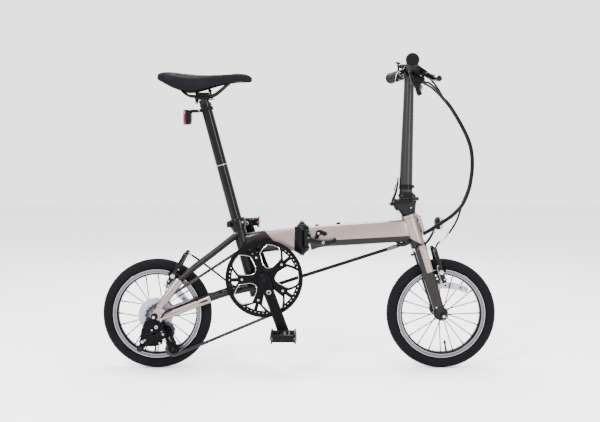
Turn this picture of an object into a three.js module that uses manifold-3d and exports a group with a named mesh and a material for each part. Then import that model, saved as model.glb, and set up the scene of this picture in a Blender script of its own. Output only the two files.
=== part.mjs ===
// A 14-inch folding bicycle: aluminium frame with a side hinge, folding handlepost, long seatpost, 53-tooth
// chainring with a guard, three-sprocket cassette with a derailleur, and V-brakes front and rear.
// Millimetres. +X points forward, +Y to the rider's left, +Z up. The origin is on the ground, midway
// between the two axles.
import * as THREE from "three";
import { mergeVertices } from "three/addons/utils/BufferGeometryUtils.js";
import Module from "manifold-3d";

const wasm = await Module();
wasm.setup();

const V = (x, y, z) => new THREE.Vector3(x, y, z);
const DEG = Math.PI / 180;
const GAP = 0.3; // between touching pieces

// ---------------------------------------------------------------- driving dimensions

const TYRE_R = 162; // a 35-254 tyre
const TYRE_HALF_WIDTH = 17.5;
const RIM_OUTER_R = 131.2;
const RIM_INNER_R = 115;
const RIM_HALF_WIDTH = 12;
const WHEELBASE = 844;
const SPOKES = 20;
const WHEEL_STEPS = 36;
const FRONT_AXLE = V(WHEELBASE / 2, 0, TYRE_R);
const REAR_AXLE = V(-WHEELBASE / 2, 0, TYRE_R);

const HEAD_ANGLE = 17.5 * DEG; // of the steering axis, back from the vertical
const STEER_UP = V(-Math.sin(HEAD_ANGLE), 0, Math.cos(HEAD_ANGLE));
const STEER_FORWARD = V(Math.cos(HEAD_ANGLE), 0, Math.sin(HEAD_ANGLE));
const CROWN_POINT = V(355.9, 0, 359.7); // on the steering axis, inside the fork crown
const HEAD_TUBE = { low: 6, high: 100, r: 21.5, bore: 15.5 };
const STEERER_R = 12.5;
const onSteering = (s) => CROWN_POINT.clone().addScaledVector(STEER_UP, s);

const SEAT_ANGLE = 15.1 * DEG; // of the seatpost, back from the vertical
const SEAT_UP = V(-Math.sin(SEAT_ANGLE), 0, Math.cos(SEAT_ANGLE));
const SEAT_TUBE_TOP = V(-187.9, 0, 443.6);
const SEAT_TUBE = { r: 20, bore: 17.2, length: 237 };
const SEATPOST = { r: 16.5, below: 110, above: 352 };
const onSeatpost = (t) => SEAT_TUBE_TOP.clone().addScaledVector(SEAT_UP, t);

const CRANK_AXIS = V(-102.5, 0, 271.3);
const CRANK_LENGTH = 164;
const CRANK_ANGLE = -69.3 * DEG; // of the right arm, from +X, in the XZ plane
const CRANK_AXLE_R = 8.8;
const BOTTOM_BRACKET = { r: 20.8, bore: CRANK_AXLE_R + 0.4, halfWidth: 34 };
const ARM_INNER_Y = 56;
const ARM_OUTER_Y = 70;
const PEDAL = { inner: 84, outer: 160, length: 72, height: 27 };

const CHAIN_Y = -43;
const CHAIN_HALF_WIDTH = 3;
const CHAIN_HALF_HEIGHT = 4;
const PITCH = 12.7;
const pitchRadius = (teeth) => PITCH / (2 * Math.sin(Math.PI / teeth));
const CHAINRING_R = pitchRadius(53);
const GUARD_R = 114;
const COG_TEETH = 12;
const PULLEY_TEETH = 10;
const GUIDE_PULLEY = V(-388, CHAIN_Y, 118);
const TENSION_PULLEY = V(-369, CHAIN_Y, 65);

const HINGE = { x: 8.5, pinY: 32, low: 338, high: 431, pinR: 4, knuckleR: 7.5 };
const DROPOUT = { inner: 57, outer: 62 };

const BAR_R = 11.1;
const BAR_END_Y = 268;
const BAR_CENTRE = V(328.5, 0, 884);
const BAR_STRAIGHT = 62; // half of the straight middle
const BAR_SWEEP = V(-25.5, 0, 3); // of each end against the middle
const GRIP_R = 16.7;
const LEVER_FORWARD = V(Math.cos(30 * DEG), 0, -Math.sin(30 * DEG));
const LEVER_NORMAL = V(Math.sin(30 * DEG), 0, Math.cos(30 * DEG));

// ---------------------------------------------------------------- materials

const finish = (color, roughness, metalness) =>
  new THREE.MeshStandardMaterial({ color, roughness, metalness });
const CHAMPAGNE = finish(0xb8aaa8, 0.35, 0.6);
const BROWN = finish(0x3c3430, 0.4, 0.5);
const BLACK = finish(0x1c1a20, 0.45, 0.3);
const BLACK_PLASTIC = finish(0x17171a, 0.6, 0);
const GLOSS_BLACK = finish(0x141418, 0.2, 0.4);
const RUBBER = finish(0x222226, 0.85, 0);
const LEATHERETTE = finish(0x25232a, 0.6, 0);
const SILVER = finish(0xb9bbc0, 0.3, 0.9);
const CHROME = finish(0xd4d6da, 0.15, 1);
const CHAIN_STEEL = finish(0x4a4246, 0.4, 0.8);
const RED_LENS = finish(0x9a1418, 0.25, 0);
const CLEAR_LENS = finish(0xd9dde0, 0.2, 0);

// ---------------------------------------------------------------- shape helpers

function solid(geometry) {
  const bare = geometry.clone();
  bare.deleteAttribute("normal");
  bare.deleteAttribute("uv");
  const merged = mergeVertices(bare, 1e-3);
  const vertProperties = merged.attributes.position.array;
  const triVerts = new Uint32Array(merged.index.array);
  const made = new wasm.Manifold(new wasm.Mesh({ numProp: 3, vertProperties, triVerts }));
  if (made.volume() >= 0) return made;
  for (let i = 0; i < triVerts.length; i += 3) {
    [triVerts[i + 1], triVerts[i + 2]] = [triVerts[i + 2], triVerts[i + 1]];
  }
  return new wasm.Manifold(new wasm.Mesh({ numProp: 3, vertProperties, triVerts }));
}

const join = (first, ...others) => others.reduce((all, one) => all.add(one), first);
const cut = (body, ...tools) => tools.reduce((left, tool) => left.subtract(tool), body);

function mesh(parent, name, body, material) {
  const got = body.getMesh();
  const geometry = new THREE.BufferGeometry();
  geometry.setAttribute("position", new THREE.BufferAttribute(got.vertProperties, 3));
  geometry.setIndex(new THREE.BufferAttribute(got.triVerts, 1));
  geometry.computeVertexNormals();
  const made = new THREE.Mesh(geometry, material);
  made.name = name;
  parent.add(made);
  return made;
}

// A straight round bar from a to b, which may taper.
function rod(a, b, radius, endRadius = radius, sides = 12) {
  const along = b.clone().sub(a);
  const geometry = new THREE.CylinderGeometry(endRadius, radius, along.length(), sides);
  geometry.applyQuaternion(
    new THREE.Quaternion().setFromUnitVectors(V(0, 1, 0), along.clone().normalize()),
  );
  const middle = a.clone().add(b).multiplyScalar(0.5);
  return solid(geometry.translate(middle.x, middle.y, middle.z));
}

// A straight round bar across the bicycle, from y = a to y = b.
const crossRod = (x, z, a, b, radius, sides = 16) =>
  rod(V(x, a, z), V(x, b, z), radius, radius, sides);

// A round tube that follows a smooth curve through its points.
function tube(points, radius, sides = 8, steps = 24) {
  const section = new THREE.Shape(
    [...Array(sides).keys()].map((i) => {
      const turn = (2 * Math.PI * i) / sides;
      return new THREE.Vector2(radius * Math.cos(turn), radius * Math.sin(turn));
    }),
  );
  const extrudePath = new THREE.CatmullRomCurve3(points);
  return solid(new THREE.ExtrudeGeometry(section, { steps, bevelEnabled: false, extrudePath }));
}

// A turned shape about the Y axis, from (radius, y) pairs in order round its closed outline.
function turned(pairs, steps = 24) {
  const profile = pairs.map(([r, y]) => new THREE.Vector2(r, y));
  profile.push(profile[0].clone());
  return solid(new THREE.LatheGeometry(profile, steps));
}

// A flat plate of an outline in the XZ plane, between two values of y.
function plate(shape, low, high, curveSegments = 12) {
  const depth = high - low;
  const geometry = new THREE.ExtrudeGeometry(shape, { depth, bevelEnabled: false, curveSegments });
  return solid(geometry.rotateX(Math.PI / 2).translate(0, high, 0));
}

const outline = (pairs) => new THREE.Shape(pairs.map(([x, z]) => new THREE.Vector2(x, z)));

function block(centre, size) {
  const geometry = new THREE.BoxGeometry(size.x, size.y, size.z);
  return solid(geometry.translate(centre.x, centre.y, centre.z));
}

// A rounded section: power 2 is an ellipse, and a higher power is squarer.
function oval(halfU, halfV, power = 2, count = 14) {
  return [...Array(count).keys()].map((i) => {
    const turn = (2 * Math.PI * (i + 0.5)) / count;
    const [c, s] = [Math.cos(turn), Math.sin(turn)];
    return new THREE.Vector2(
      halfU * Math.sign(c) * Math.abs(c) ** (2 / power),
      halfV * Math.sign(s) * Math.abs(s) ** (2 / power),
    );
  });
}

// A solid through flat sections {at, u, v, points}, each with the same number of points.
function loft(sections) {
  const count = sections[0].points.length;
  const positions = sections.flatMap(({ at, u, v, points }) =>
    points.flatMap((p) => at.clone().addScaledVector(u, p.x).addScaledVector(v, p.y).toArray()),
  );
  const index = [];
  for (let ring = 0; ring + 1 < sections.length; ring++) {
    for (let i = 0; i < count; i++) {
      const [a, b] = [ring * count + i, ring * count + ((i + 1) % count)];
      index.push(a, b, a + count, b, b + count, a + count);
    }
  }
  const last = (sections.length - 1) * count;
  for (const [i, j, k] of THREE.ShapeUtils.triangulateShape(sections[0].points, [])) {
    index.push(i, k, j);
  }
  for (const [i, j, k] of THREE.ShapeUtils.triangulateShape(sections.at(-1).points, [])) {
    index.push(last + i, last + j, last + k);
  }
  const geometry = new THREE.BufferGeometry();
  geometry.setAttribute("position", new THREE.Float32BufferAttribute(positions, 3));
  geometry.setIndex(index);
  return solid(geometry);
}

// A bar through points, with a half width across (about Y) and a half height at each point.
function beam(stops, power = 2, count = 14) {
  const points = stops.map(([point]) => point);
  const sections = stops.map(([at, halfWidth, halfHeight], i) => {
    const before = points[Math.max(i - 1, 0)];
    const after = points[Math.min(i + 1, points.length - 1)];
    const along = after.clone().sub(before).normalize();
    const u = V(0, 1, 0).addScaledVector(along, -along.y).normalize();
    const v = along.clone().cross(u);
    return { at, u, v, points: oval(halfWidth, halfHeight, power, count) };
  });
  return loft(sections);
}

// A level section across the bicycle, for lofts that rise.
const levelSection = (x, z, halfX, halfY, power = 2.6, y = 0) => ({
  at: V(x, y, z),
  u: V(1, 0, 0),
  v: V(0, 1, 0),
  points: oval(halfX, halfY, power),
});

// A closed belt line round circles {x, z, r, turn}, as points. turn is 1 where the belt goes
// round anticlockwise seen from the right side of the bicycle, and -1 where it goes clockwise.
function beltLine(circles, step = 9 * DEG) {
  const leave = circles.map((a, i) => {
    const b = circles[(i + 1) % circles.length];
    const between = Math.atan2(b.z - a.z, b.x - a.x);
    const apart = Math.hypot(b.x - a.x, b.z - a.z);
    return between + Math.asin((a.r * a.turn - b.r * b.turn) / apart);
  });
  return circles.flatMap(({ x, z, r, turn }, i) => {
    const arrive = leave[(i + circles.length - 1) % circles.length];
    const from = arrive - (turn * Math.PI) / 2;
    let sweep = (turn * (leave[i] - arrive)) % (2 * Math.PI);
    if (sweep < 0) sweep += 2 * Math.PI;
    const stops = Math.max(2, Math.ceil(sweep / step) + 1);
    return [...Array(stops).keys()].map((k) => {
      const turned = from + (turn * sweep * k) / (stops - 1);
      return [x + r * Math.cos(turned), z + r * Math.sin(turned)];
    });
  });
}

const bicycle = new THREE.Group();

// ---------------------------------------------------------------- wheels, built about their own axle

function tyre() {
  const side = [
    [131.5, 10.5],
    [137, 15.5],
    [147, TYRE_HALF_WIDTH],
    [156, 13.5],
    [TYRE_R, 5],
  ];
  return turned([...side.map(([r, y]) => [r, -y]), ...side.reverse()], WHEEL_STEPS);
}

function rim() {
  const side = [
    [RIM_INNER_R, 6.5],
    [121, RIM_HALF_WIDTH],
    [RIM_OUTER_R, RIM_HALF_WIDTH],
  ];
  return turned([...side.map(([r, y]) => [r, -y]), ...side.reverse()], WHEEL_STEPS);
}

// A hub with its spokes: flanges at two values of y, and a bored barrel between low and high.
function spokedHub({ low, high, rightFlange, leftFlange, flangeR, barrelR, endR, bore }) {
  const flange = (y) => crossRod(0, 0, y - 1.5, y + 1.5, flangeR);
  const spokes = [...Array(SPOKES).keys()].map((i) => {
    const turn = (2 * Math.PI * i) / SPOKES;
    const y = i % 2 ? leftFlange : rightFlange;
    const out = (r, side) => V(r * Math.cos(turn), side, r * Math.sin(turn));
    return rod(out(flangeR - 3, y), out(RIM_INNER_R - 1, 0.1 * y), 1.2, 1.2, 5);
  });
  const shell = join(
    crossRod(0, 0, rightFlange, leftFlange, barrelR),
    crossRod(0, 0, low, high, endR),
    flange(rightFlange),
    flange(leftFlange),
    ...spokes,
  );
  return cut(shell, crossRod(0, 0, low - 1, high + 1, bore));
}

function wheel(name, axle, hub) {
  const group = new THREE.Group();
  group.position.copy(axle);
  mesh(group, `${name}_tyre`, tyre(), RUBBER);
  mesh(group, `${name}_rim`, rim(), SILVER);
  mesh(group, `${name}_hub_and_spokes`, spokedHub(hub), BLACK);
  bicycle.add(group);
}

const AXLE_R = 4.7;
const HUB_BORE = 5.1;
wheel("front", FRONT_AXLE, {
  low: -33.5,
  high: 33.5,
  rightFlange: -22,
  leftFlange: 22,
  flangeR: 20,
  barrelR: 12,
  endR: 9,
  bore: HUB_BORE,
});
wheel("rear", REAR_AXLE, {
  low: -35,
  high: 56.5,
  rightFlange: -31,
  leftFlange: 33,
  flangeR: 23,
  barrelR: 14,
  endR: 9,
  bore: HUB_BORE,
});

// An axle with a nut outside each dropout.
function nuttedAxle(centre, nutFace, nutHeight) {
  const end = nutFace + nutHeight + 4;
  const nut = (from, to) => crossRod(centre.x, centre.z, from, to, 8.5, 6);
  return join(
    crossRod(centre.x, centre.z, -end, end, AXLE_R),
    nut(-nutFace - nutHeight, -nutFace),
    nut(nutFace, nutFace + nutHeight),
  );
}

mesh(bicycle, "front_axle", nuttedAxle(FRONT_AXLE, 49.8, 6), CHROME);
mesh(bicycle, "rear_axle", nuttedAxle(REAR_AXLE, DROPOUT.outer + GAP, 8), CHROME);

// ---------------------------------------------------------------- rear half of the frame

const seatTubeCutter = rod(onSeatpost(-260), onSeatpost(30), SEAT_TUBE.r + GAP, SEAT_TUBE.r + GAP, 20);
const bottomBracketCutter = crossRod(CRANK_AXIS.x, CRANK_AXIS.z, -60, 60, BOTTOM_BRACKET.r + GAP, 20);

function seatTube() {
  const { r, bore, length } = SEAT_TUBE;
  const shell = join(
    rod(onSeatpost(-length), onSeatpost(-1), r, r, 20),
    crossRod(CRANK_AXIS.x, CRANK_AXIS.z, -BOTTOM_BRACKET.halfWidth, BOTTOM_BRACKET.halfWidth, BOTTOM_BRACKET.r, 20),
  );
  return cut(
    shell,
    rod(onSeatpost(-length - 5), onSeatpost(5), bore, bore, 20),
    crossRod(CRANK_AXIS.x, CRANK_AXIS.z, -60, 60, BOTTOM_BRACKET.bore, 20),
  );
}

function mainTubeRear() {
  const body = beam(
    [
      [V(-166, 0, 371), 11, 26],
      [V(-140, 0, 372), 18, 30],
      [V(-108, 0, 375.8), 20, 32.8],
      [V(-60, 0, 380.7), 20.5, 32.8],
      [V(-10, 0, 382), 21, 36],
    ],
    3.4,
    16,
  );
  return cut(body, seatTubeCutter, block(V(35.7, 0, 382), V(100, 100, 120)));
}

// One leaf of the frame hinge, which flares out from the tube to a flat face.
function hingeLeaf(tubeX, faceX, tubeCentre, knuckles, otherKnuckles) {
  const middle = (HINGE.low + HINGE.high) / 2;
  const halfHeight = (HINGE.high - HINGE.low) / 2;
  const leafX = tubeX + 0.45 * (faceX - tubeX);
  const leaf = (x, z, halfY, halfZ) => ({
    at: V(x, 1, z),
    u: V(0, 1, 0),
    v: V(0, 0, 1),
    points: oval(halfY, halfZ, 4, 16),
  });
  const body = loft([
    leaf(tubeX, tubeCentre, 22, 37.5),
    leaf(leafX, middle, 30, halfHeight),
    leaf(faceX, middle, 31, halfHeight),
  ]);
  const barrel = (low, high, r) => rod(V(HINGE.x, HINGE.pinY, low), V(HINGE.x, HINGE.pinY, high), r, r, 14);
  const own = knuckles.map(([low, high]) => barrel(low, high, HINGE.knuckleR));
  const others = otherKnuckles.map(([low, high]) => barrel(low - 0.4, high + 0.4, HINGE.knuckleR + 0.6));
  return cut(join(cut(body, ...others), ...own), barrel(300, 460, HINGE.pinR + 0.35));
}

const REAR_KNUCKLES = [[363, 406]];
const FRONT_KNUCKLES = [
  [HINGE.low, 362.4],
  [406.6, HINGE.high],
];

const SEATSTAY_R = 9.5;
const SEATSTAY_END = V(-407, 59.5, 190);
const CHAINSTAY_END = V(-403, 59.5, 158.5);
const REAR_PIVOT = V(-381, 38, 259);
const REAR_ARM_UP = V(44, 0, 78).normalize();
const REAR_PIVOT_AXIS = V(REAR_ARM_UP.z, 0, -REAR_ARM_UP.x); // from the boss's tip into the stay

const mirrored = (point, side) => V(point.x, side * point.y, point.z);

function seatstay(side) {
  const route = [V(-180, 14, 400), V(-245, 28, 349), V(-351, 49, 266), V(-388, 58.5, 216), SEATSTAY_END];
  const stay = tube(route.map((p) => mirrored(p, side)), SEATSTAY_R, 12, 14);
  const pivot = mirrored(REAR_PIVOT, side);
  const base = pivot.clone().addScaledVector(REAR_PIVOT_AXIS, 12);
  const boss = rod(mirrored(V(-364, 50, 250), side), base, 7, 7, 10);
  const pin = rod(base, pivot.clone().addScaledVector(REAR_PIVOT_AXIS, -10), 4, 4, 10);
  return cut(join(stay, boss, pin), seatTubeCutter);
}

function chainstay(side) {
  const route = [V(-128, 17, 243), V(-175, 28, 233), V(-217, 30.5, 224), V(-288, 38, 200), V(-368, 54, 171)];
  const stay = tube([...route, CHAINSTAY_END].map((p) => mirrored(p, side)), SEATSTAY_R, 12, 16);
  const around = [...Array(8).keys()].map((i) => {
    const turn = (-20 - 27 * i) * DEG;
    return [REAR_AXLE.x + 15 * Math.cos(turn), REAR_AXLE.z + 15 * Math.sin(turn)];
  });
  const hanger = [
    [-404, 141],
    [-409, 134],
    [-417, 136],
  ];
  const profile = [
    [SEATSTAY_END.x - 7, SEATSTAY_END.z + 3.2],
    [SEATSTAY_END.x + 7, SEATSTAY_END.z - 6.2],
    [-396, 176],
    [-392, 158],
    ...(side < 0 ? hanger : around.slice(0, 2)),
    ...around.slice(2),
  ];
  const [low, high] = side > 0 ? [DROPOUT.inner, DROPOUT.outer] : [-DROPOUT.outer, -DROPOUT.inner];
  const dropout = plate(outline(profile), low, high);
  const whole = cut(join(stay, dropout), crossRod(REAR_AXLE.x, REAR_AXLE.z, -80, 80, HUB_BORE, 12));
  return cut(whole, seatTubeCutter, bottomBracketCutter);
}

function seatClampCollar() {
  const ring = join(
    rod(onSeatpost(-25), onSeatpost(0), 24.5, 24.5, 20),
    beam([
      [onSeatpost(-20).add(V(-21, 0, -5)), 12, 7],
      [onSeatpost(-4).add(V(-21, 0, -5)), 12, 7],
    ], 4),
  );
  const bored = cut(ring, rod(onSeatpost(-40), onSeatpost(5), SEAT_TUBE.r + 0.6, SEAT_TUBE.r + 0.6, 20));
  const bolt = rod(V(-207.5, -17, 428), V(-207.5, 19.5, 428), 3, 3, 8);
  return join(bored, bolt);
}

const SEAT_LEVER_PIVOT = V(-207.5, 26.5, 428);

function seatClampLever() {
  const boss = rod(
    SEAT_LEVER_PIVOT.clone().addScaledVector(SEAT_UP, -8),
    SEAT_LEVER_PIVOT.clone().addScaledVector(SEAT_UP, 8),
    6,
    6,
    12,
  );
  const arm = beam([
    [SEAT_LEVER_PIVOT, 3, 6],
    [V(-185, 31.5, 432), 3, 6],
    [V(-160, 30, 437), 3, 5],
  ]);
  return join(boss, arm);
}

mesh(bicycle, "seat_tube", seatTube(), BROWN);
mesh(bicycle, "main_tube_rear", mainTubeRear(), BROWN);
mesh(bicycle, "hinge_leaf_rear", hingeLeaf(-14, HINGE.x - 0.25, 382, REAR_KNUCKLES, FRONT_KNUCKLES), BLACK);
for (const [name, side] of [
  ["left", 1],
  ["right", -1],
]) {
  mesh(bicycle, `seatstay_${name}`, seatstay(side), BROWN);
  mesh(bicycle, `chainstay_${name}`, chainstay(side), CHAMPAGNE);
}
mesh(bicycle, "seat_clamp_collar", seatClampCollar(), BLACK);
mesh(bicycle, "seat_clamp_lever", seatClampLever(), BLACK);

// ---------------------------------------------------------------- front half of the frame

const headTubeCutter = rod(onSteering(-20), onSteering(130), HEAD_TUBE.r + GAP, HEAD_TUBE.r + GAP, 24);

function mainTubeFront() {
  const body = beam(
    [
      [V(20, 0, 384), 21, 36.75],
      [V(36, 0, 386), 21, 36.5],
      [V(70, 0, 391.6), 20, 32.8],
      [V(265, 0, 404.6), 18, 33],
      [V(308, 0, 407), 17, 33.5],
      [V(337, 0, 408.2), 11, 33.5],
    ],
    3.4,
    16,
  );
  const lug = beam(
    [
      [V(291, 0, 375), 8, 5],
      [V(304, 0, 366), 7, 5],
    ],
    3,
    10,
  );
  return cut(join(body, lug), headTubeCutter, block(V(-20.6, 0, 385), V(100, 100, 120)));
}

function headTube() {
  const { low, high, r, bore } = HEAD_TUBE;
  const front = (s, out) => onSteering(s).addScaledVector(STEER_FORWARD, out);
  const cablePort = beam(
    [
      [front(93, 17), 5, 4],
      [front(80, 25), 8, 4],
      [front(42, 26), 9, 5],
      [front(34, 17), 8, 4],
    ],
    3,
    10,
  );
  const shell = join(rod(onSteering(low), onSteering(high), r, r, 24), cablePort);
  return cut(shell, rod(onSteering(-20), onSteering(130), bore, bore, 20));
}

function frameHingePin() {
  const at = (z) => V(HINGE.x, HINGE.pinY, z);
  return join(
    rod(at(HINGE.low - 1), at(HINGE.high + 2), HINGE.pinR, HINGE.pinR, 12),
    rod(at(HINGE.high + GAP), at(HINGE.high + 3.5), 6.5, 6.5, 12),
  );
}

const LATCH_PIVOT = V(20, -37, 386);

function frameLatchLever() {
  const boss = rod(V(20, -37, 366), V(20, -37, 406), 6, 6, 14);
  const arm = beam(
    [
      [LATCH_PIVOT, 4, 9],
      [V(48, -41, 379), 4, 8],
      [V(79, -39, 374), 3.5, 7],
      [V(108, -36, 382.5), 3, 7],
    ],
    3,
  );
  return join(boss, arm);
}

mesh(bicycle, "main_tube_front", mainTubeFront(), CHAMPAGNE);
mesh(bicycle, "head_tube", headTube(), CHAMPAGNE);
mesh(bicycle, "hinge_leaf_front", hingeLeaf(29, HINGE.x + 0.25, 384.75, FRONT_KNUCKLES, REAR_KNUCKLES), BLACK);
mesh(bicycle, "frame_hinge_pin", frameHingePin(), CHROME);
mesh(bicycle, "frame_latch_lever", frameLatchLever(), BLACK);

// ---------------------------------------------------------------- fork

const BLADE_Y = 40;
const FORK_TIP = V(414, BLADE_Y, 169);
const FRONT_PIVOT = V(424, 38, 264);
const FRONT_ARM_UP = V(-25, 0, 93).normalize();
const FRONT_PIVOT_AXIS = V(-FRONT_ARM_UP.z, 0, FRONT_ARM_UP.x); // from the boss's tip into the blade

function forkBlade(side) {
  const top = onSteering(-4).setY(BLADE_Y - 0.5);
  const blade = beam([
    [mirrored(top, side), 9.5, 17],
    [mirrored(V(389, BLADE_Y, 253), side), 9.2, 16.5],
    [mirrored(FORK_TIP, side), 8.5, 14.5],
  ]);
  const [low, high] = side > 0 ? [34, 49.5] : [-49.5, -34];
  const cap = crossRod(FORK_TIP.x, FORK_TIP.z, low, high, 18);
  const pivot = mirrored(FRONT_PIVOT, side);
  const base = pivot.clone().addScaledVector(FRONT_PIVOT_AXIS, 9);
  const boss = rod(mirrored(V(392, BLADE_Y, 258), side), base, 7, 7, 10);
  const pin = rod(base, pivot.clone().addScaledVector(FRONT_PIVOT_AXIS, -10), 4, 4, 10);
  return join(blade, cap, boss, pin);
}

function fork() {
  const crown = loft(
    [-12, 5.4].map((s) => ({
      at: onSteering(s),
      u: STEER_FORWARD,
      v: V(0, 1, 0),
      points: oval(17.5, 49, 4),
    })),
  );
  const steerer = rod(onSteering(-8), onSteering(118), STEERER_R, STEERER_R, 16);
  const whole = join(crown, steerer, forkBlade(1), forkBlade(-1));
  return cut(whole, crossRod(FRONT_AXLE.x, FRONT_AXLE.z, -80, 80, HUB_BORE, 12));
}

const POST_HINGE_Z = 503;
const POST_PIN = V(341.5, -22.5, POST_HINGE_Z);
const POST_PIN_AXIS = V(1, 1, 0).normalize();
const POST_PIN_R = 3;
const POST_KNUCKLE_R = 6;
const onPostPin = (a, b, r) =>
  rod(
    POST_PIN.clone().addScaledVector(POST_PIN_AXIS, a),
    POST_PIN.clone().addScaledVector(POST_PIN_AXIS, b),
    r,
    r,
    12,
  );

function handlepostBase() {
  const body = loft([
    {
      at: onSteering(100.8),
      u: STEER_FORWARD,
      v: V(0, 1, 0),
      points: oval(24, 23),
    },
    levelSection(313.5, 484, 34, 26),
    levelSection(317, POST_HINGE_Z - 0.2, 31.5, 26.5),
  ]);
  const clear = cut(body, onPostPin(-6.6, 6.6, POST_KNUCKLE_R + 0.8));
  const knuckles = [onPostPin(-15, -6.6, POST_KNUCKLE_R), onPostPin(6.6, 15, POST_KNUCKLE_R)];
  return cut(
    join(clear, ...knuckles),
    onPostPin(-20, 20, POST_PIN_R + 0.4),
    rod(onSteering(80), onSteering(118.6), STEERER_R + 0.4, STEERER_R + 0.4, 16),
  );
}

function frontReflector() {
  const foot = onSteering(-3).addScaledVector(STEER_FORWARD, 19.6);
  const bracket = beam(
    [
      [foot, 8, 1.5],
      [V(381, 0, 378), 8, 1.5],
      [V(400, 0, 401), 8, 1.5],
      [V(411, 0, 421), 8, 1.5],
    ],
    4,
    8,
  );
  const housing = loft([
    { at: V(408, 0, 428.5), u: V(0, 1, 0), v: V(0, 0, 1), points: oval(21, 17, 4) },
    { at: V(426, 0, 428.5), u: V(0, 1, 0), v: V(0, 0, 1), points: oval(22.5, 19.5, 4) },
  ]);
  return join(bracket, housing);
}

const LATCH_2_PIVOT = V(274.5, 0, 487);

function handlepostLatchLever() {
  const boss = rod(V(274.5, -12, 487), V(274.5, 12, 487), 5, 5, 12);
  const arm = beam(
    [
      [LATCH_2_PIVOT, 8, 4],
      [V(283, 0, 508), 8, 3.5],
      [V(291, 0, 532), 8, 3],
      [V(294.5, 0, 565), 7, 2.5],
    ],
    3,
  );
  return join(boss, arm);
}

mesh(bicycle, "fork", fork(), BROWN);
mesh(bicycle, "handlepost_base", handlepostBase(), BLACK);
mesh(bicycle, "front_reflector", frontReflector(), CLEAR_LENS);
mesh(bicycle, "handlepost_latch_lever", handlepostLatchLever(), BLACK);

// ---------------------------------------------------------------- handlepost and handlebar

// The handlebar's centre line at a value of y.
function barAt(y) {
  const out = Math.max(0, Math.abs(y) - BAR_STRAIGHT) / (BAR_END_Y - BAR_STRAIGHT);
  return BAR_CENTRE.clone().addScaledVector(BAR_SWEEP, out).setY(y);
}

function handlepost() {
  const post = loft([
    levelSection(322, POST_HINGE_Z + 0.2, 26, 26),
    levelSection(322, 514, 26, 25),
    levelSection(318.5, 523, 20, 20, 2),
    levelSection(319.4, 576, 19.4, 19.4, 2),
    levelSection(327, 815, 15.4, 15.4, 2),
    levelSection(328.2, 872, 15.4, 15.4, 2),
  ]);
  const clear = cut(
    post,
    onPostPin(-15.6, -6, POST_KNUCKLE_R + 0.8),
    onPostPin(6, 15.6, POST_KNUCKLE_R + 0.8),
  );
  const hinge = join(onPostPin(-6, 6, POST_KNUCKLE_R), onPostPin(-14.5, 14.5, POST_PIN_R));
  const clamp = crossRod(BAR_CENTRE.x, BAR_CENTRE.z, -25, 25, 19);
  const ear = beam(
    [
      [V(314, 0, 880), 10, 8],
      [V(297, 0, 872), 9, 6],
      [V(290, 0, 852), 7, 4],
    ],
    3,
  );
  const bore = crossRod(BAR_CENTRE.x, BAR_CENTRE.z, -40, 40, BAR_R + 0.4);
  return cut(join(clear, hinge, clamp, ear), bore);
}

function handlebar() {
  const end = BAR_END_Y - 2;
  const stops = [-end, -BAR_STRAIGHT, BAR_STRAIGHT, end].map(barAt);
  const sections = stops.map((at) => ({
    at,
    u: V(1, 0, 0),
    v: V(0, 0, 1),
    points: oval(BAR_R, BAR_R, 2, 12),
  }));
  return loft(sections);
}

function grip(side) {
  const sleeve = rod(barAt(side * 141), barAt(side * 270), GRIP_R, GRIP_R, 16);
  return cut(sleeve, rod(barAt(side * 130), barAt(side * 268.7), BAR_R + 0.5, BAR_R + 0.5, 12));
}

const leverPoint = (side, y, forward) =>
  barAt(side * y).addScaledVector(LEVER_FORWARD, forward);
const leverPivot = (side) => leverPoint(side, 119, 34);

function brakeBracket(side) {
  const ring = rod(barAt(side * 121), barAt(side * 135), 15.5, 15.5, 14);
  const neck = beam(
    [
      [leverPoint(side, 128, 12), 7, 9],
      [leverPoint(side, 122, 26), 9, 9],
      [leverPoint(side, 119, 38), 8, 8],
    ],
    3.5,
  );
  const pivot = leverPivot(side);
  const along = (s) => pivot.clone().addScaledVector(LEVER_NORMAL, s);
  const slot = rod(along(-5.4), along(5.4), 11, 11, 14);
  const bored = cut(
    join(ring, neck),
    slot,
    rod(barAt(side * 100), barAt(side * 150), BAR_R + 0.4, BAR_R + 0.4, 12),
  );
  return join(bored, rod(along(-7), along(7), 2.4, 2.4, 8));
}

function brakeLever(side) {
  const pivot = leverPivot(side);
  const along = (s) => pivot.clone().addScaledVector(LEVER_NORMAL, s);
  const blade = beam(
    [
      [leverPoint(side, 121, 37), 4.5, 4.5],
      [leverPoint(side, 134, 52), 5, 4.8],
      [leverPoint(side, 158, 64), 5, 4.5],
      [leverPoint(side, 190, 66), 4.5, 4.5],
      [leverPoint(side, 205, 65), 5, 4.5],
    ],
    2.5,
    10,
  );
  const boss = rod(along(-4.9), along(4.9), 6.5, 6.5, 12);
  return cut(join(boss, blade), rod(along(-9), along(9), 2.8, 2.8, 8));
}

const THUMB_PIVOT = V(338, -97, 831);

function shifterBody() {
  const ring = rod(barAt(-87), barAt(-101), 15, 15, 14);
  const pod = loft([
    levelSection(331, 876, 13, 6, 2.6, -95),
    levelSection(333, 866, 16, 12, 2.6, -97),
    levelSection(337, 856, 19, 16, 2.6, -97),
    levelSection(338, 838, 16, 15, 2.6, -97),
  ]);
  const ear = (y) => block(V(THUMB_PIVOT.x, y, THUMB_PIVOT.z + 3), V(10, 2, 14));
  const pin = crossRod(THUMB_PIVOT.x, THUMB_PIVOT.z, -107.5, -86.5, 2.2, 10);
  const bored = cut(join(ring, pod), rod(barAt(-80), barAt(-120), BAR_R + 0.4, BAR_R + 0.4, 12));
  return join(bored, ear(-107), ear(-87), pin);
}

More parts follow.
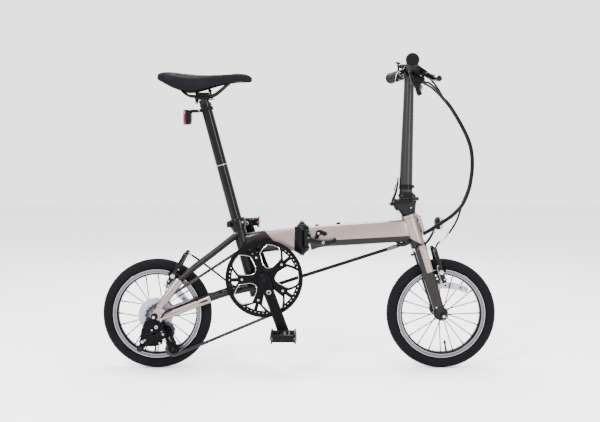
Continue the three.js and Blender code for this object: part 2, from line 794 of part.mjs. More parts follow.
function thumbLever() {
  const lever = join(
    crossRod(THUMB_PIVOT.x, THUMB_PIVOT.z, -105, -89, 5, 12),
    beam(
      [
        [THUMB_PIVOT, 6, 4],
        [V(340, -96, 818), 8, 4],
        [V(343, -94, 807), 8, 3.5],
      ],
      3,
      10,
    ),
  );
  return cut(lever, crossRod(THUMB_PIVOT.x, THUMB_PIVOT.z, -110, -80, 2.7, 10));
}

mesh(bicycle, "handlepost", handlepost(), BLACK);
mesh(bicycle, "handlebar", handlebar(), GLOSS_BLACK);
mesh(bicycle, "shifter_body", shifterBody(), BLACK_PLASTIC);
mesh(bicycle, "thumb_lever", thumbLever(), BLACK_PLASTIC);
for (const [name, side] of [
  ["left", 1],
  ["right", -1],
]) {
  mesh(bicycle, `grip_${name}`, grip(side), RUBBER);
  mesh(bicycle, `brake_bracket_${name}`, brakeBracket(side), BLACK_PLASTIC);
  mesh(bicycle, `brake_lever_${name}`, brakeLever(side), BLACK);
}

// ---------------------------------------------------------------- V-brakes

// A brake arm on its pivot, with its pad on the rim's brake track.
function brakeArm(side, pivotPoint, up, axis, padAlong, trackCentre) {
  const pivot = mirrored(pivotPoint, side);
  const at = (along, y) => pivot.clone().addScaledVector(up, along).setY(side * y);
  const onAxis = (s) => pivot.clone().addScaledVector(axis, s);
  const boss = rod(onAxis(4.5), onAxis(-7.5), 8, 8, 12);
  const arm = beam([
    [at(0, 38), 5, 7],
    [at(40, 41), 5, 6],
    [at(96, 40), 4, 5],
  ]);
  const padCentre = at(padAlong, 19);
  const round = padCentre.clone().sub(trackCentre).setY(0).normalize();
  const tangent = V(round.z, 0, -round.x);
  const pad = loft(
    [15, 23].map((y) => ({
      at: padCentre.clone().setY(side * y),
      u: tangent,
      v: round,
      points: oval(24, 4.6, 4, 12),
    })),
  );
  const stud = rod(padCentre.clone().setY(side * 22), at(padAlong, 47), 3.5, 3.5, 8);
  return cut(join(boss, arm, pad, stud), rod(onAxis(20), onAxis(-20), 4.4, 4.4, 10));
}

for (const [name, side] of [
  ["left", 1],
  ["right", -1],
]) {
  const front = brakeArm(side, FRONT_PIVOT, FRONT_ARM_UP, FRONT_PIVOT_AXIS, 25, FRONT_AXLE);
  mesh(bicycle, `front_brake_arm_${name}`, front, BLACK);
  const rear = brakeArm(side, REAR_PIVOT, REAR_ARM_UP, REAR_PIVOT_AXIS, 21, REAR_AXLE);
  mesh(bicycle, `rear_brake_arm_${name}`, rear, BLACK);
}

// ---------------------------------------------------------------- cranks, pedals and chain

const ringFrame = (turn, r) => [CRANK_AXIS.x + r * Math.cos(turn), CRANK_AXIS.z + r * Math.sin(turn)];

// A disc about the crank axis, with five windows between its arms.
function windowedDisc(radius, low, high) {
  const disc = new THREE.Shape();
  disc.absarc(CRANK_AXIS.x, CRANK_AXIS.z, radius, 0, 2 * Math.PI, false);
  for (let i = 0; i < 5; i++) {
    const middle = CRANK_ANGLE + (72 * i) * DEG;
    const corners = [
      [-24, 44],
      [-22, 86],
      [0, 90],
      [22, 86],
      [24, 44],
      [0, 38],
    ];
    disc.holes.push(
      new THREE.Path(corners.map(([t, r]) => new THREE.Vector2(...ringFrame(middle + t * DEG, r)))),
    );
  }
  return plate(disc, low, high, 24);
}

function chainring() {
  const ring = windowedDisc(CHAINRING_R - CHAIN_HALF_HEIGHT - GAP, CHAIN_Y - 1.5, CHAIN_Y + 1.5);
  const guard = windowedDisc(GUARD_R, -51, -48.5);
  const spacers = [...Array(5).keys()].map((i) => {
    const [x, z] = ringFrame(CRANK_ANGLE + (36 + 72 * i) * DEG, 65);
    return crossRod(x, z, -50, -42, 6, 8);
  });
  const bore = crossRod(CRANK_AXIS.x, CRANK_AXIS.z, -60, -40, 14);
  return cut(join(ring, guard, ...spacers), bore);
}

function crankArm(side) {
  const turn = side < 0 ? CRANK_ANGLE : CRANK_ANGLE + Math.PI;
  const at = (r, y) => V(CRANK_AXIS.x + r * Math.cos(turn), side * y, CRANK_AXIS.z + r * Math.sin(turn));
  const middle = (ARM_INNER_Y + ARM_OUTER_Y) / 2;
  const arm = beam(
    [
      [at(-14, middle), 7, 14],
      [at(0, middle), 7, 18],
      [at(60, middle + 3), 6.5, 17],
      [at(CRANK_LENGTH, middle + 6), 6, 15.5],
      [at(CRANK_LENGTH + 13, middle + 6), 5.5, 9],
    ],
    3,
  );
  const spindle = crossRod(
    at(CRANK_LENGTH, 0).x,
    at(CRANK_LENGTH, 0).z,
    side * (PEDAL.inner - 12),
    side * (PEDAL.outer - 14),
    5,
    12,
  );
  return { arm: join(arm, spindle), at };
}

function crankArmRight() {
  const { arm } = crankArm(-1);
  const hub = crossRod(CRANK_AXIS.x, CRANK_AXIS.z, -62, -39, 13.6);
  const bore = crossRod(CRANK_AXIS.x, CRANK_AXIS.z, -66, -30, CRANK_AXLE_R + GAP);
  return cut(join(arm, hub), bore);
}

// The left arm holds the axle that runs through the bottom bracket into the right arm.
function crankArmLeft() {
  const { arm } = crankArm(1);
  return join(arm, crossRod(CRANK_AXIS.x, CRANK_AXIS.z, -65.5, 60, CRANK_AXLE_R, 16));
}

function pedal(side) {
  const turn = side < 0 ? CRANK_ANGLE : CRANK_ANGLE + Math.PI;
  const [x, z] = ringFrame(turn, CRANK_LENGTH);
  const middle = (side * (PEDAL.inner + PEDAL.outer)) / 2;
  const width = PEDAL.outer - PEDAL.inner;
  const body = block(V(x, middle, z), V(PEDAL.length, width, PEDAL.height));
  const window = (dx) => block(V(x + dx, middle, z), V(17, width - 16, PEDAL.height + 2));
  const bore = crossRod(x, z, side * (PEDAL.inner - 5), side * (PEDAL.outer - 10), 5.4, 12);
  return cut(body, window(-21), window(21), bore);
}

const belt = [
  { x: CRANK_AXIS.x, z: CRANK_AXIS.z, r: CHAINRING_R, turn: 1 },
  { x: REAR_AXLE.x, z: REAR_AXLE.z, r: pitchRadius(COG_TEETH), turn: 1 },
  { x: GUIDE_PULLEY.x, z: GUIDE_PULLEY.z, r: pitchRadius(PULLEY_TEETH), turn: -1 },
  { x: TENSION_PULLEY.x, z: TENSION_PULLEY.z, r: pitchRadius(PULLEY_TEETH), turn: 1 },
];

function chain() {
  const offset = (by) => beltLine(belt.map((c) => ({ ...c, r: c.r + by * c.turn })));
  const loop = outline(offset(CHAIN_HALF_HEIGHT));
  loop.holes.push(new THREE.Path(offset(-CHAIN_HALF_HEIGHT).map(([x, z]) => new THREE.Vector2(x, z))));
  return plate(loop, CHAIN_Y - CHAIN_HALF_WIDTH, CHAIN_Y + CHAIN_HALF_WIDTH);
}

function cassette() {
  const disc = (y, r) => crossRod(REAR_AXLE.x, REAR_AXLE.z, y - 0.9, y + 0.9, r, 24);
  const body = join(
    disc(-37.9, 30.5),
    disc(CHAIN_Y, pitchRadius(COG_TEETH) - CHAIN_HALF_HEIGHT - GAP),
    disc(-47.6, 18.6),
    crossRod(REAR_AXLE.x, REAR_AXLE.z, -50, -36, 13),
    crossRod(REAR_AXLE.x, REAR_AXLE.z, -56.5, -36, 9),
  );
  return cut(body, crossRod(REAR_AXLE.x, REAR_AXLE.z, -70, -30, HUB_BORE));
}

function pulley(centre) {
  const r = pitchRadius(PULLEY_TEETH) - CHAIN_HALF_HEIGHT - GAP;
  const disc = crossRod(centre.x, centre.z, CHAIN_Y - 1.5, CHAIN_Y + 1.5, r);
  return cut(disc, crossRod(centre.x, centre.z, CHAIN_Y - 5, CHAIN_Y + 5, 3, 10));
}

function rearDerailleur() {
  const link = (y, half) => {
    const ends = [GUIDE_PULLEY, TENSION_PULLEY].map((p) => [V(p.x, y, p.z), half, 11]);
    const [a, b] = ends.map(([p]) => p);
    const along = b.clone().sub(a).normalize();
    return beam(
      [
        [a.clone().addScaledVector(along, -9), half, 7],
        ...ends,
        [b.clone().addScaledVector(along, 9), half, 7],
      ],
      3,
    );
  };
  const pin = (p) => crossRod(p.x, p.z, -52, -34, 2.6, 10);
  const cagePivot = crossRod(GUIDE_PULLEY.x - 9, GUIDE_PULLEY.z - 4, -65, -49, 6, 10);
  const knuckle = plate(
    outline([
      [-404, 149],
      [-419, 149],
      [-430, 131],
      [-456, 120],
      [-461, 90],
      [-444, 72],
      [-424, 84],
      [-392, 98],
      [-384, 116],
      [-394, 132],
    ]),
    -77,
    -63,
  );
  return join(link(-35.5, 1), link(-50.5, 1), pin(GUIDE_PULLEY), pin(TENSION_PULLEY), cagePivot, knuckle);
}

mesh(bicycle, "chainring", chainring(), BLACK);
mesh(bicycle, "crank_arm_right", crankArmRight(), BLACK);
mesh(bicycle, "crank_arm_left", crankArmLeft(), BLACK);
mesh(bicycle, "pedal_right", pedal(-1), BLACK_PLASTIC);
mesh(bicycle, "pedal_left", pedal(1), BLACK_PLASTIC);
mesh(bicycle, "chain", chain(), CHAIN_STEEL);
mesh(bicycle, "cassette", cassette(), SILVER);
mesh(bicycle, "guide_pulley", pulley(GUIDE_PULLEY), BLACK_PLASTIC);
mesh(bicycle, "tension_pulley", pulley(TENSION_PULLEY), BLACK_PLASTIC);
mesh(bicycle, "rear_derailleur", rearDerailleur(), BLACK);

// ---------------------------------------------------------------- seatpost and saddle

const RAIL_Z = 808;
const RAIL_Y = 22;
const CLAMP_X = -287;

function seatpost() {
  const post = rod(onSeatpost(-SEATPOST.below), onSeatpost(SEATPOST.above), SEATPOST.r, SEATPOST.r, 20);
  const neck = loft([
    levelSection(-279, 779, 13, 13),
    levelSection(CLAMP_X, 799, 19, 12),
  ]);
  const jaw = (low, high) => block(V(CLAMP_X, 0, (low + high) / 2), V(42, 2 * RAIL_Y + 10, high - low));
  const web = block(V(CLAMP_X, 0, RAIL_Z), V(38, 2 * RAIL_Y - 12, 12));
  return join(post, neck, jaw(798, RAIL_Z - 4.8), web, jaw(RAIL_Z + 4.8, 818));
}

function saddleRails() {
  const half = [
    V(-345, 30, 822),
    V(-333, 26, 811),
    V(-318, RAIL_Y, RAIL_Z),
    V(-290, RAIL_Y, RAIL_Z),
    V(-262, RAIL_Y, RAIL_Z),
    V(-238, 18, 822),
    V(-212, 12, 842),
    V(-204, 6, 846),
  ];
  return tube([...half, ...half.toReversed().map((p) => mirrored(p, -1))], 3.4, 8, 56);
}

// Each row is one cross-section of the saddle: x, half width, top, skirt, and underside in the middle.
const SADDLE_SECTIONS = [
  [-417, 34, 870, 857, 862],
  [-408, 56, 877, 850, 862],
  [-385, 69, 880, 838, 862],
  [-345, 66, 876, 823, 858],
  [-302, 46, 872, 824, 856],
  [-262, 30, 872, 834, 856],
  [-230, 23, 873, 842, 857],
  [-190, 19.5, 875.5, 849, 858],
  [-158, 16.5, 874, 850, 857],
  [-141, 9, 864, 853, 857],
];

function saddle() {
  const arch = (halfWidth, top, skirt, under) => {
    const rise = top - skirt;
    const outer = [0, 22, 45, 68, 90, 112, 135, 158, 180].map((turn) => {
      const [c, s] = [Math.cos(turn * DEG), Math.sin(turn * DEG)];
      const across = Math.sign(c) * Math.abs(c) ** 0.7;
      return new THREE.Vector2(halfWidth * across, skirt + rise * s ** 0.6);
    });
    const inner = [-0.82, -0.5, 0, 0.5, 0.82].map((share, i) => {
      const lift = [0.1, 0.8, 1, 0.8, 0.1][i];
      return new THREE.Vector2(halfWidth * share, skirt + (under - skirt) * lift);
    });
    return [...outer, ...inner];
  };
  return loft(
    SADDLE_SECTIONS.map(([x, halfWidth, top, skirt, under]) => ({
      at: V(x, 0, 0),
      u: V(0, 1, 0),
      v: V(0, 0, 1),
      points: arch(halfWidth, top, skirt, under),
    })),
  );
}

function rearReflector() {
  const ring = cut(
    rod(onSeatpost(334), onSeatpost(342), 20, 20, 18),
    rod(onSeatpost(320), onSeatpost(360), SEATPOST.r + 0.4, SEATPOST.r + 0.4, 20),
  );
  const arm = beam(
    [
      [onSeatpost(338).add(V(-18.5, 0, -3)), 8, 4],
      [V(-330, 0, 764), 8, 4],
    ],
    4,
    8,
  );
  const body = loft([
    { at: V(-322.5, 0, 746), u: V(0, 1, 0), v: V(0, 0, 1), points: oval(20, 23.5, 4) },
    { at: V(-343, 0, 745), u: V(0, 1, 0), v: V(0, 0, 1), points: oval(21.5, 22, 4) },
  ]);
  return join(ring, arm, body);
}

mesh(bicycle, "seatpost", seatpost(), BLACK);
mesh(bicycle, "saddle_rails", saddleRails(), BLACK);
mesh(bicycle, "saddle", saddle(), LEATHERETTE);
mesh(bicycle, "rear_reflector", rearReflector(), RED_LENS);

// ---------------------------------------------------------------- cables

// The tie cable under the frame hinge, from the lug behind the head tube to the bottom bracket.
const TIE_CABLE = [V(296, 0, 362.6), V(200, 0, 332), V(104, 0, 301.5), V(8, 0, 271), V(-92, 0, 238.5)];
// The bundle of control cables, which loops forward from the handlebar to the head tube's cable port.
const LOOP_UPPER = [
  V(362, -20, 884),
  V(397, -14, 859),
  V(434, -10, 805),
  V(470, -8, 748),
  V(501, -8, 687),
  V(516, -8, 620),
  V(512, -9, 572),
];
const LOOP_LOWER = [
  V(511.5, -9.5, 568),
  V(500, -14, 525),
  V(478, -22, 484),
  V(440, -31, 451),
  V(405, -29, 425),
  V(384, -11, 409.5),
];
const FRONT_BRAKE = [
  V(505, 2, 572),
  V(496, 4, 520),
  V(480, 4, 470),
  V(462, 0, 430),
  V(442, -14, 399),
  V(424, -27, 380),
  V(406, -34, 368),
];
const REAR_BRAKE = [
  V(-334, -22, 350),
  V(-325, -14, 348),
  V(-300, -6, 322),
  V(-250, 0, 281),
  V(-200, 0, 243),
  V(-160, 0, 228),
];
const SHIFT = [
  V(-160, -24, 250.5),
  V(-217, -31, 237.4),
  V(-288, -38.5, 213.5),
  V(-345, -50, 192.5),
  V(-380, -66, 181),
  V(-396, -72.5, 168),
  V(-402, -73, 153),
];

mesh(bicycle, "tie_cable", tube(TIE_CABLE, 4, 8, 12), BLACK_PLASTIC);
mesh(bicycle, "control_cables_upper", tube(LOOP_UPPER, 5, 8, 26), BLACK_PLASTIC);
mesh(bicycle, "control_cables_lower", tube(LOOP_LOWER, 5, 8, 20), BLACK_PLASTIC);
mesh(bicycle, "front_brake_cable", tube(FRONT_BRAKE, 2.5, 8, 24), BLACK_PLASTIC);
mesh(bicycle, "rear_brake_cable", tube(REAR_BRAKE, 2.5, 8, 24), BLACK_PLASTIC);
mesh(bicycle, "shift_cable", tube(SHIFT, 2.5, 8, 28), BLACK_PLASTIC);

export default bicycle;
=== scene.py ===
import math

import bmesh
import bpy
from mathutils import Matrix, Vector


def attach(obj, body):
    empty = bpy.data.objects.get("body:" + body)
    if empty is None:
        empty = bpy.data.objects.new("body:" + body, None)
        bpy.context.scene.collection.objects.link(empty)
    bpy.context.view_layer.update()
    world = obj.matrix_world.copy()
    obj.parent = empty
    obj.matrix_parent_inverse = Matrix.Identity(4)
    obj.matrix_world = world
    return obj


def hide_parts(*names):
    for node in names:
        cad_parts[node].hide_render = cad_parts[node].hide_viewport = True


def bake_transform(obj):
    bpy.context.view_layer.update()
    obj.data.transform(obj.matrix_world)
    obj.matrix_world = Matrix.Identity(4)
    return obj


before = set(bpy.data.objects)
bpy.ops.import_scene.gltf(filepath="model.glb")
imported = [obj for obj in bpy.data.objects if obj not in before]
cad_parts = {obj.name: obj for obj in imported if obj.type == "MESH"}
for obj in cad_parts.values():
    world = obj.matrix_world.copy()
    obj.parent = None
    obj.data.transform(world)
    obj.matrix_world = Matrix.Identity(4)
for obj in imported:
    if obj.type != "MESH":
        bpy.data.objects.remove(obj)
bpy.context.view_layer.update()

MM = 0.001
RAD = math.pi / 180


def V(x, y, z):
    return Vector((x, y, z))


# ------------------------------------------------------------ materials


class Nodes:
    """A small writer for one material's node tree."""

    def __init__(self, name):
        self.material = bpy.data.materials.new(name)
        self.material.use_nodes = True
        self.tree = self.material.node_tree
        self.shader = self.tree.nodes["Principled BSDF"]
        self.place = self.new("ShaderNodeTexCoord").outputs["Object"]

    def new(self, kind, **settings):
        node = self.tree.nodes.new(kind)
        for key, value in settings.items():
            setattr(node, key, value)
        return node

    def link(self, out, socket):
        self.tree.links.new(out, socket)

    def math(self, operation, a, b):
        node = self.new("ShaderNodeMath", operation=operation)
        for value, socket in ((a, node.inputs[0]), (b, node.inputs[1])):
            if isinstance(value, (int, float)):
                socket.default_value = value
            else:
                self.link(value, socket)
        return node.outputs[0]

    def noise(self, scale, stretch=(1, 1, 1), detail=4):
        mapping = self.new("ShaderNodeMapping")
        mapping.inputs["Scale"].default_value = stretch
        self.link(self.place, mapping.inputs["Vector"])
        node = self.new("ShaderNodeTexNoise")
        node.inputs["Scale"].default_value = scale
        node.inputs["Detail"].default_value = detail
        self.link(mapping.outputs[0], node.inputs["Vector"])
        return node.outputs["Fac"]

    def spread(self, value, low, high):
        node = self.new("ShaderNodeMapRange")
        node.inputs["From Min"].default_value = 0.3
        node.inputs["From Max"].default_value = 0.7
        node.inputs["To Min"].default_value = low
        node.inputs["To Max"].default_value = high
        self.link(value, node.inputs["Value"])
        return node.outputs[0]

    def mix(self, factor, a, b):
        node = self.new("ShaderNodeMix", data_type="RGBA")
        self.link(factor, node.inputs["Factor"])
        for value, socket in ((a, node.inputs[6]), (b, node.inputs[7])):
            if isinstance(value, tuple):
                socket.default_value = (*value, 1)
            else:
                self.link(value, socket)
        return node.outputs[2]

    def bump(self, height, strength, distance=0.0003):
        node = self.new("ShaderNodeBump")
        node.inputs["Strength"].default_value = strength
        node.inputs["Distance"].default_value = distance
        self.link(height, node.inputs["Height"])
        self.link(node.outputs[0], self.shader.inputs["Normal"])


def shade(colour, amount):
    return tuple(min(1, c * amount) for c in colour)


def finish(name, colour, rough, metal=0.0, coat=0.0, grain=900, depth=0.15, vary=0.12, stretch=(1, 1, 1),
           shine=0.5):
    """A finish with fine grain, uneven gloss and a little wear in its colour."""
    n = Nodes(name)
    fine, broad = n.noise(grain, stretch), n.noise(14, (1, 1, 1), 3)
    n.link(n.mix(n.spread(broad, 0, 1), shade(colour, 1 - vary), shade(colour, 1 + vary)),
           n.shader.inputs["Base Color"])
    n.link(n.spread(fine, rough * 0.85, min(1, rough * 1.15)), n.shader.inputs["Roughness"])
    n.shader.inputs["Metallic"].default_value = metal
    n.shader.inputs["Specular IOR Level"].default_value = shine
    n.shader.inputs["Coat Weight"].default_value = coat
    n.shader.inputs["Coat Roughness"].default_value = 0.08
    n.bump(fine, depth)
    return n.material


def two_tone(name, above, below, borders, rough, metal):
    """Metallic paint in two colours: above every border line z = slope * x + height (in mm), and below."""
    n = Nodes(name)
    axes = n.new("ShaderNodeSeparateXYZ")
    n.link(n.place, axes.inputs[0])
    over = None
    for slope, height in borders:
        line = n.math("ADD", n.math("MULTIPLY", axes.outputs["X"], slope), height * MM)
        gap = n.math("DIVIDE", n.math("SUBTRACT", axes.outputs["Z"], line), math.hypot(1, slope))
        over = gap if over is None else n.math("MINIMUM", over, gap)
    edge = n.math("MULTIPLY", over, 2500)
    edge.node.use_clamp = True
    flakes = n.noise(2600, (1, 1, 1), 2)
    broad = n.noise(9, (1, 1, 1), 2)
    paint = n.mix(edge, below, above)
    n.link(n.mix(n.spread(broad, 0.0, 0.12), paint, (0.02, 0.017, 0.016)), n.shader.inputs["Base Color"])
    n.link(n.spread(flakes, rough * 0.8, rough * 1.2), n.shader.inputs["Roughness"])
    n.shader.inputs["Metallic"].default_value = metal
    n.shader.inputs["Specular IOR Level"].default_value = 0.2
    n.shader.inputs["Coat Weight"].default_value = 0.15
    n.shader.inputs["Coat Roughness"].default_value = 0.06
    n.bump(flakes, 0.05)
    return n.material


CHAMPAGNE_RGB = (0.205, 0.160, 0.151)
BROWN_RGB = (0.0066, 0.0050, 0.0050)
champagne = finish("champagne_paint", CHAMPAGNE_RGB, 0.33, 0.85, 0.1, 2600, 0.05, 0.05, shine=0.2)
brown = finish("brown_paint", BROWN_RGB, 0.32, 0.5, 0.05, 2600, 0.05, 0.08, shine=0.12)
front_tube_paint = two_tone("front_tube_paint", CHAMPAGNE_RGB, BROWN_RGB, [(0.054, 375.6)], 0.32, 0.7)
rear_tube_paint = two_tone("rear_tube_paint", CHAMPAGNE_RGB, BROWN_RGB, [(-1.167, 289.5)], 0.32, 0.7)
head_tube_paint = two_tone("head_tube_paint", CHAMPAGNE_RGB, BROWN_RGB, [(-0.5, 550.5)], 0.32, 0.7)
fork_paint = two_tone("fork_paint", CHAMPAGNE_RGB, BROWN_RGB, [(-3.17, 1475.2), (0.3, 174)], 0.32, 0.6)
black = finish("satin_black_metal", (0.0022, 0.0021, 0.0026), 0.34, 0, 0.02, 1400, 0.06, shine=0.06)
gloss = finish("gloss_black_metal", (0.0016, 0.0016, 0.0021), 0.17, 0, 0.03, 1400, 0.03, shine=0.11)
plastic = finish("black_plastic", (0.0022, 0.0021, 0.0026), 0.46, 0, 0, 1500, 0.22, shine=0.06)
cable_skin = finish("cable_skin", (0.0018, 0.0018, 0.0024), 0.3, 0, 0, 1100, 0.08, shine=0.08)
rubber = finish("tyre_rubber", (0.0030, 0.0030, 0.0040), 0.72, 0, 0, 700, 0.35, 0.2, shine=0.05)
grip_rubber = finish("grip_rubber", (0.0024, 0.0024, 0.0031), 0.6, 0, 0, 1200, 0.3, shine=0.06)
silver = finish("brushed_aluminium", (0.26, 0.26, 0.285), 0.26, 1, 0, 500, 0.12, 0.06, (1, 1, 6))
rim_grey = finish("rim_track", (0.062, 0.062, 0.072), 0.3, 1, 0, 500, 0.12, 0.1, (1, 1, 6))
chrome = finish("bright_steel", (0.33, 0.33, 0.35), 0.13, 1, 0, 800, 0.03, 0.04)
dark_steel = finish("dark_steel", (0.013, 0.012, 0.014), 0.33, 1, 0, 900, 0.08, 0.18)
spoke_steel = finish("spoke_steel", (0.003, 0.003, 0.005), 0.4, 0.2, 0, 900, 0.05, shine=0.06)
chain_metal = finish("chain_steel", (0.026, 0.024, 0.027), 0.3, 1, 0, 900, 0.1, 0.25)
red_lens = finish("red_lens", (0.085, 0.0025, 0.012), 0.16, 0, 0.2, 700, 0.05, 0.1, shine=0.2)
amber_lens = finish("amber_lens", (0.06, 0.022, 0.005), 0.18, 0, 0.15, 700, 0.05, 0.1, shine=0.2)
clear_lens = finish("clear_lens", (0.25, 0.24, 0.30), 0.14, 0.1, 0.4, 700, 0.05, 0.05)
guard_plastic = finish("spoke_guard_plastic", (0.22, 0.21, 0.28), 0.25, 0, 0.2, 900, 0.05, 0.05)


def leatherette():
    n = Nodes("saddle_cover")
    cells = n.new("ShaderNodeTexVoronoi", feature="DISTANCE_TO_EDGE")
    cells.inputs["Scale"].default_value = 650
    n.link(n.place, cells.inputs["Vector"])
    broad = n.noise(20)
    n.link(n.mix(broad, (0.0024, 0.0023, 0.0036), (0.0036, 0.0035, 0.0052)), n.shader.inputs["Base Color"])
    n.shader.inputs["Specular IOR Level"].default_value = 0.05
    n.link(n.spread(n.noise(300), 0.42, 0.56), n.shader.inputs["Roughness"])
    n.bump(cells.outputs["Distance"], 0.3, 0.0003)
    return n.material


leather = leatherette()
cog_steel = finish("sprocket_steel", (0.075, 0.072, 0.078), 0.28, 1, 0, 700, 0.1, 0.15)
post_black = finish("anodised_black", (0.0022, 0.0021, 0.0030), 0.36, 0, 0, 1400, 0.05, shine=0.24)
crank_black = finish("crank_black", (0.0012, 0.0012, 0.0017), 0.3, 0, 0, 1400, 0.05, shine=0.045)

# ------------------------------------------------------------ shapes: (points in mm, faces)


def loft(rings, caps=True, closed=False):
    """A skin through rings of equally many points. A closed one joins its last ring to its first."""
    count = len(rings[0])
    points = [p for ring in rings for p in ring]
    faces = []
    for r in range(len(rings) - (0 if closed else 1)):
        low, high = r * count, ((r + 1) % len(rings)) * count
        for i in range(count):
            j = (i + 1) % count
            faces.append((low + i, low + j, high + j, high + i))
    if caps and not closed:
        faces.append(tuple(range(count))[::-1])
        faces.append(tuple((len(rings) - 1) * count + i for i in range(count)))
    return points, faces


def frame_of(along, up=None):
    """Two directions square to along and to each other."""
    along = along.normalized()
    helper = up or (V(0, 1, 0) if abs(along.y) < 0.9 else V(1, 0, 0))
    u = (helper - along * helper.dot(along)).normalized()
    return u, along.cross(u)


def circle(centre, u, v, r, n=24, sides=0):
    """A ring of n points. sides makes it a polygon with that many flats."""
    ring = []
    for i in range(n):
        t = 2 * math.pi * i / n
        k = r
        if sides:
            step = 2 * math.pi / sides
            k = r * math.cos(step / 2) / math.cos((t % step) - step / 2)
        ring.append(centre + u * (k * math.cos(t)) + v * (k * math.sin(t)))
    return ring


def turn(a, b, profile, n=32, sides=0, hollow=False):
    """A turned piece on the line from a: profile is (distance along, radius) pairs.

    A hollow piece has a closed profile, and no caps at its ends.
    """
    along = (b - a).normalized()
    u, v = frame_of(along)
    return loft([circle(a + along * s, u, v, max(r, 0.01), n, sides) for s, r in profile], not hollow, hollow)


def rod(a, b, r, r2=None, n=24, chamfer=0.5, sides=0):
    length = (b - a).length
    c = min(chamfer, length / 3)
    r2 = r if r2 is None else r2
    return turn(a, b, [(0, r - c), (c, r), (length - c, r2), (length, r2 - c)], n, sides)


def cross(x, z, y0, y1, r, **more):
    return rod(V(x, y0, z), V(x, y1, z), r, **more)


def smooth_path(points, per=10):
    """Points along a smooth curve through the given ones."""
    p = [points[0] * 2 - points[1], *points, points[-1] * 2 - points[-2]]
    out = []
    for i in range(1, len(p) - 2):
        a, b, c, d = p[i - 1 : i + 3]
        for k in range(per):
            t = k / per
            out.append(
                0.5 * ((2 * b) + (c - a) * t + (2 * a - 5 * b + 4 * c - d) * t * t
                       + (3 * b - a - 3 * c + d) * t**3)
            )
    return out + [points[-1].copy()]


def tube(points, r, n=14, per=10, smooth=True):
    """A round tube. r is a radius or a function of the share of the way along."""
    path = smooth_path(points, per) if smooth else points
    u = frame_of(path[1] - path[0])[0]
    rings = []
    for i, p in enumerate(path):
        along = (path[min(i + 1, len(path) - 1)] - path[max(i - 1, 0)]).normalized()
        u = (u - along * u.dot(along)).normalized()
        radius = r(i / (len(path) - 1)) if callable(r) else r
        rings.append(circle(p, u, along.cross(u), radius, n))
    return loft(rings)


def oval(centre, u, v, half_u, half_v, power=2, n=32):
    """A ring that goes from an ellipse (power 2) towards a rectangle as the power rises."""
    ring = []
    for i in range(n):
        t = 2 * math.pi * (i + 0.5) / n
        c, s = math.cos(t), math.sin(t)
        ring.append(
            centre
            + u * (half_u * math.copysign(abs(c) ** (2 / power), c))
            + v * (half_v * math.copysign(abs(s) ** (2 / power), s))
        )
    return ring


def beam(stops, power=2, n=32, per=6, rounded=1.0):
    """A bar through stops (point, half width across, half height), with its ends rounded."""
    rows = [Vector((*p, w, h)) for p, w, h in stops]
    rows = smooth_path(rows, per) if per > 1 else rows
    points = [Vector(r[:3]) for r in rows]
    rings = []
    for i, (p, row) in enumerate(zip(points, rows)):
        along = (points[min(i + 1, len(points) - 1)] - points[max(i - 1, 0)]).normalized()
        u, v = frame_of(along, V(0, 1, 0))
        w, h = row[3], row[4]
        if rounded and i == 0:
            rings.append(oval(p, u, v, w - rounded, h - rounded, power, n))
            p = p + along * rounded * 0.6
        if rounded and i == len(points) - 1:
            rings.append(oval(p - along * rounded * 0.6, u, v, w, h, power, n))
            w, h = w - rounded, h - rounded
        rings.append(oval(p, u, v, w, h, power, n))
    return loft(rings)


def rising(levels, power=2.6, n=48, per=6, rounded=1.0):
    """A loft through level sections (x, y, z, half x, half y, power)."""
    rows = [Vector(level if len(level) == 6 else (*level, power)) for level in levels]
    rows = smooth_path(rows, per) if per > 1 else rows
    rings = []
    for i, (x, y, z, a, b, k) in enumerate(rows):
        if i == 0:
            rings.append(oval(V(x, y, z), V(1, 0, 0), V(0, 1, 0), a - rounded, b - rounded, k, n))
            z += 0.6 * rounded
        if i == len(rows) - 1:
            rings.append(oval(V(x, y, z - 0.6 * rounded), V(1, 0, 0), V(0, 1, 0), a, b, k, n))
            a, b = a - rounded, b - rounded
        rings.append(oval(V(x, y, z), V(1, 0, 0), V(0, 1, 0), a, b, k, n))
    return loft(rings)


def lathe(profile, centre, n=96):
    """A closed profile of (radius, y) pairs turned about a line along Y."""
    rings = []
    for i in range(n):
        t = 2 * math.pi * i / n
        rings.append([centre + V(r * math.cos(t), y, r * math.sin(t)) for r, y in profile])
    return loft(rings, closed=True)


def plate(outline, y0, y1, holes=(), bevel=0.4):
    """A flat plate in the XZ plane with holes, from (x, z) pairs."""
    curve = bpy.data.curves.new("outline", "CURVE")
    curve.dimensions = "2D"
    curve.fill_mode = "BOTH"
    curve.extrude = max((y1 - y0) / 2 - bevel, 0.01)
    curve.bevel_depth = bevel
    curve.bevel_resolution = 1
    for line in (outline, *holes):
        spline = curve.splines.new("POLY")
        spline.points.add(len(line) - 1)
        for point, (x, z) in zip(spline.points, line):
            point.co = (x, z, 0, 1)
        spline.use_cyclic_u = True
    holder = bpy.data.objects.new("outline", curve)
    bpy.context.scene.collection.objects.link(holder)
    made = bpy.data.meshes.new_from_object(holder.evaluated_get(bpy.context.evaluated_depsgraph_get()))
    points = [V(v.co.x, (y0 + y1) / 2 - v.co.z, v.co.y) for v in made.vertices]
    faces = [tuple(p.vertices) for p in made.polygons]
    bpy.data.objects.remove(holder)
    bpy.data.meshes.remove(made)
    return points, faces


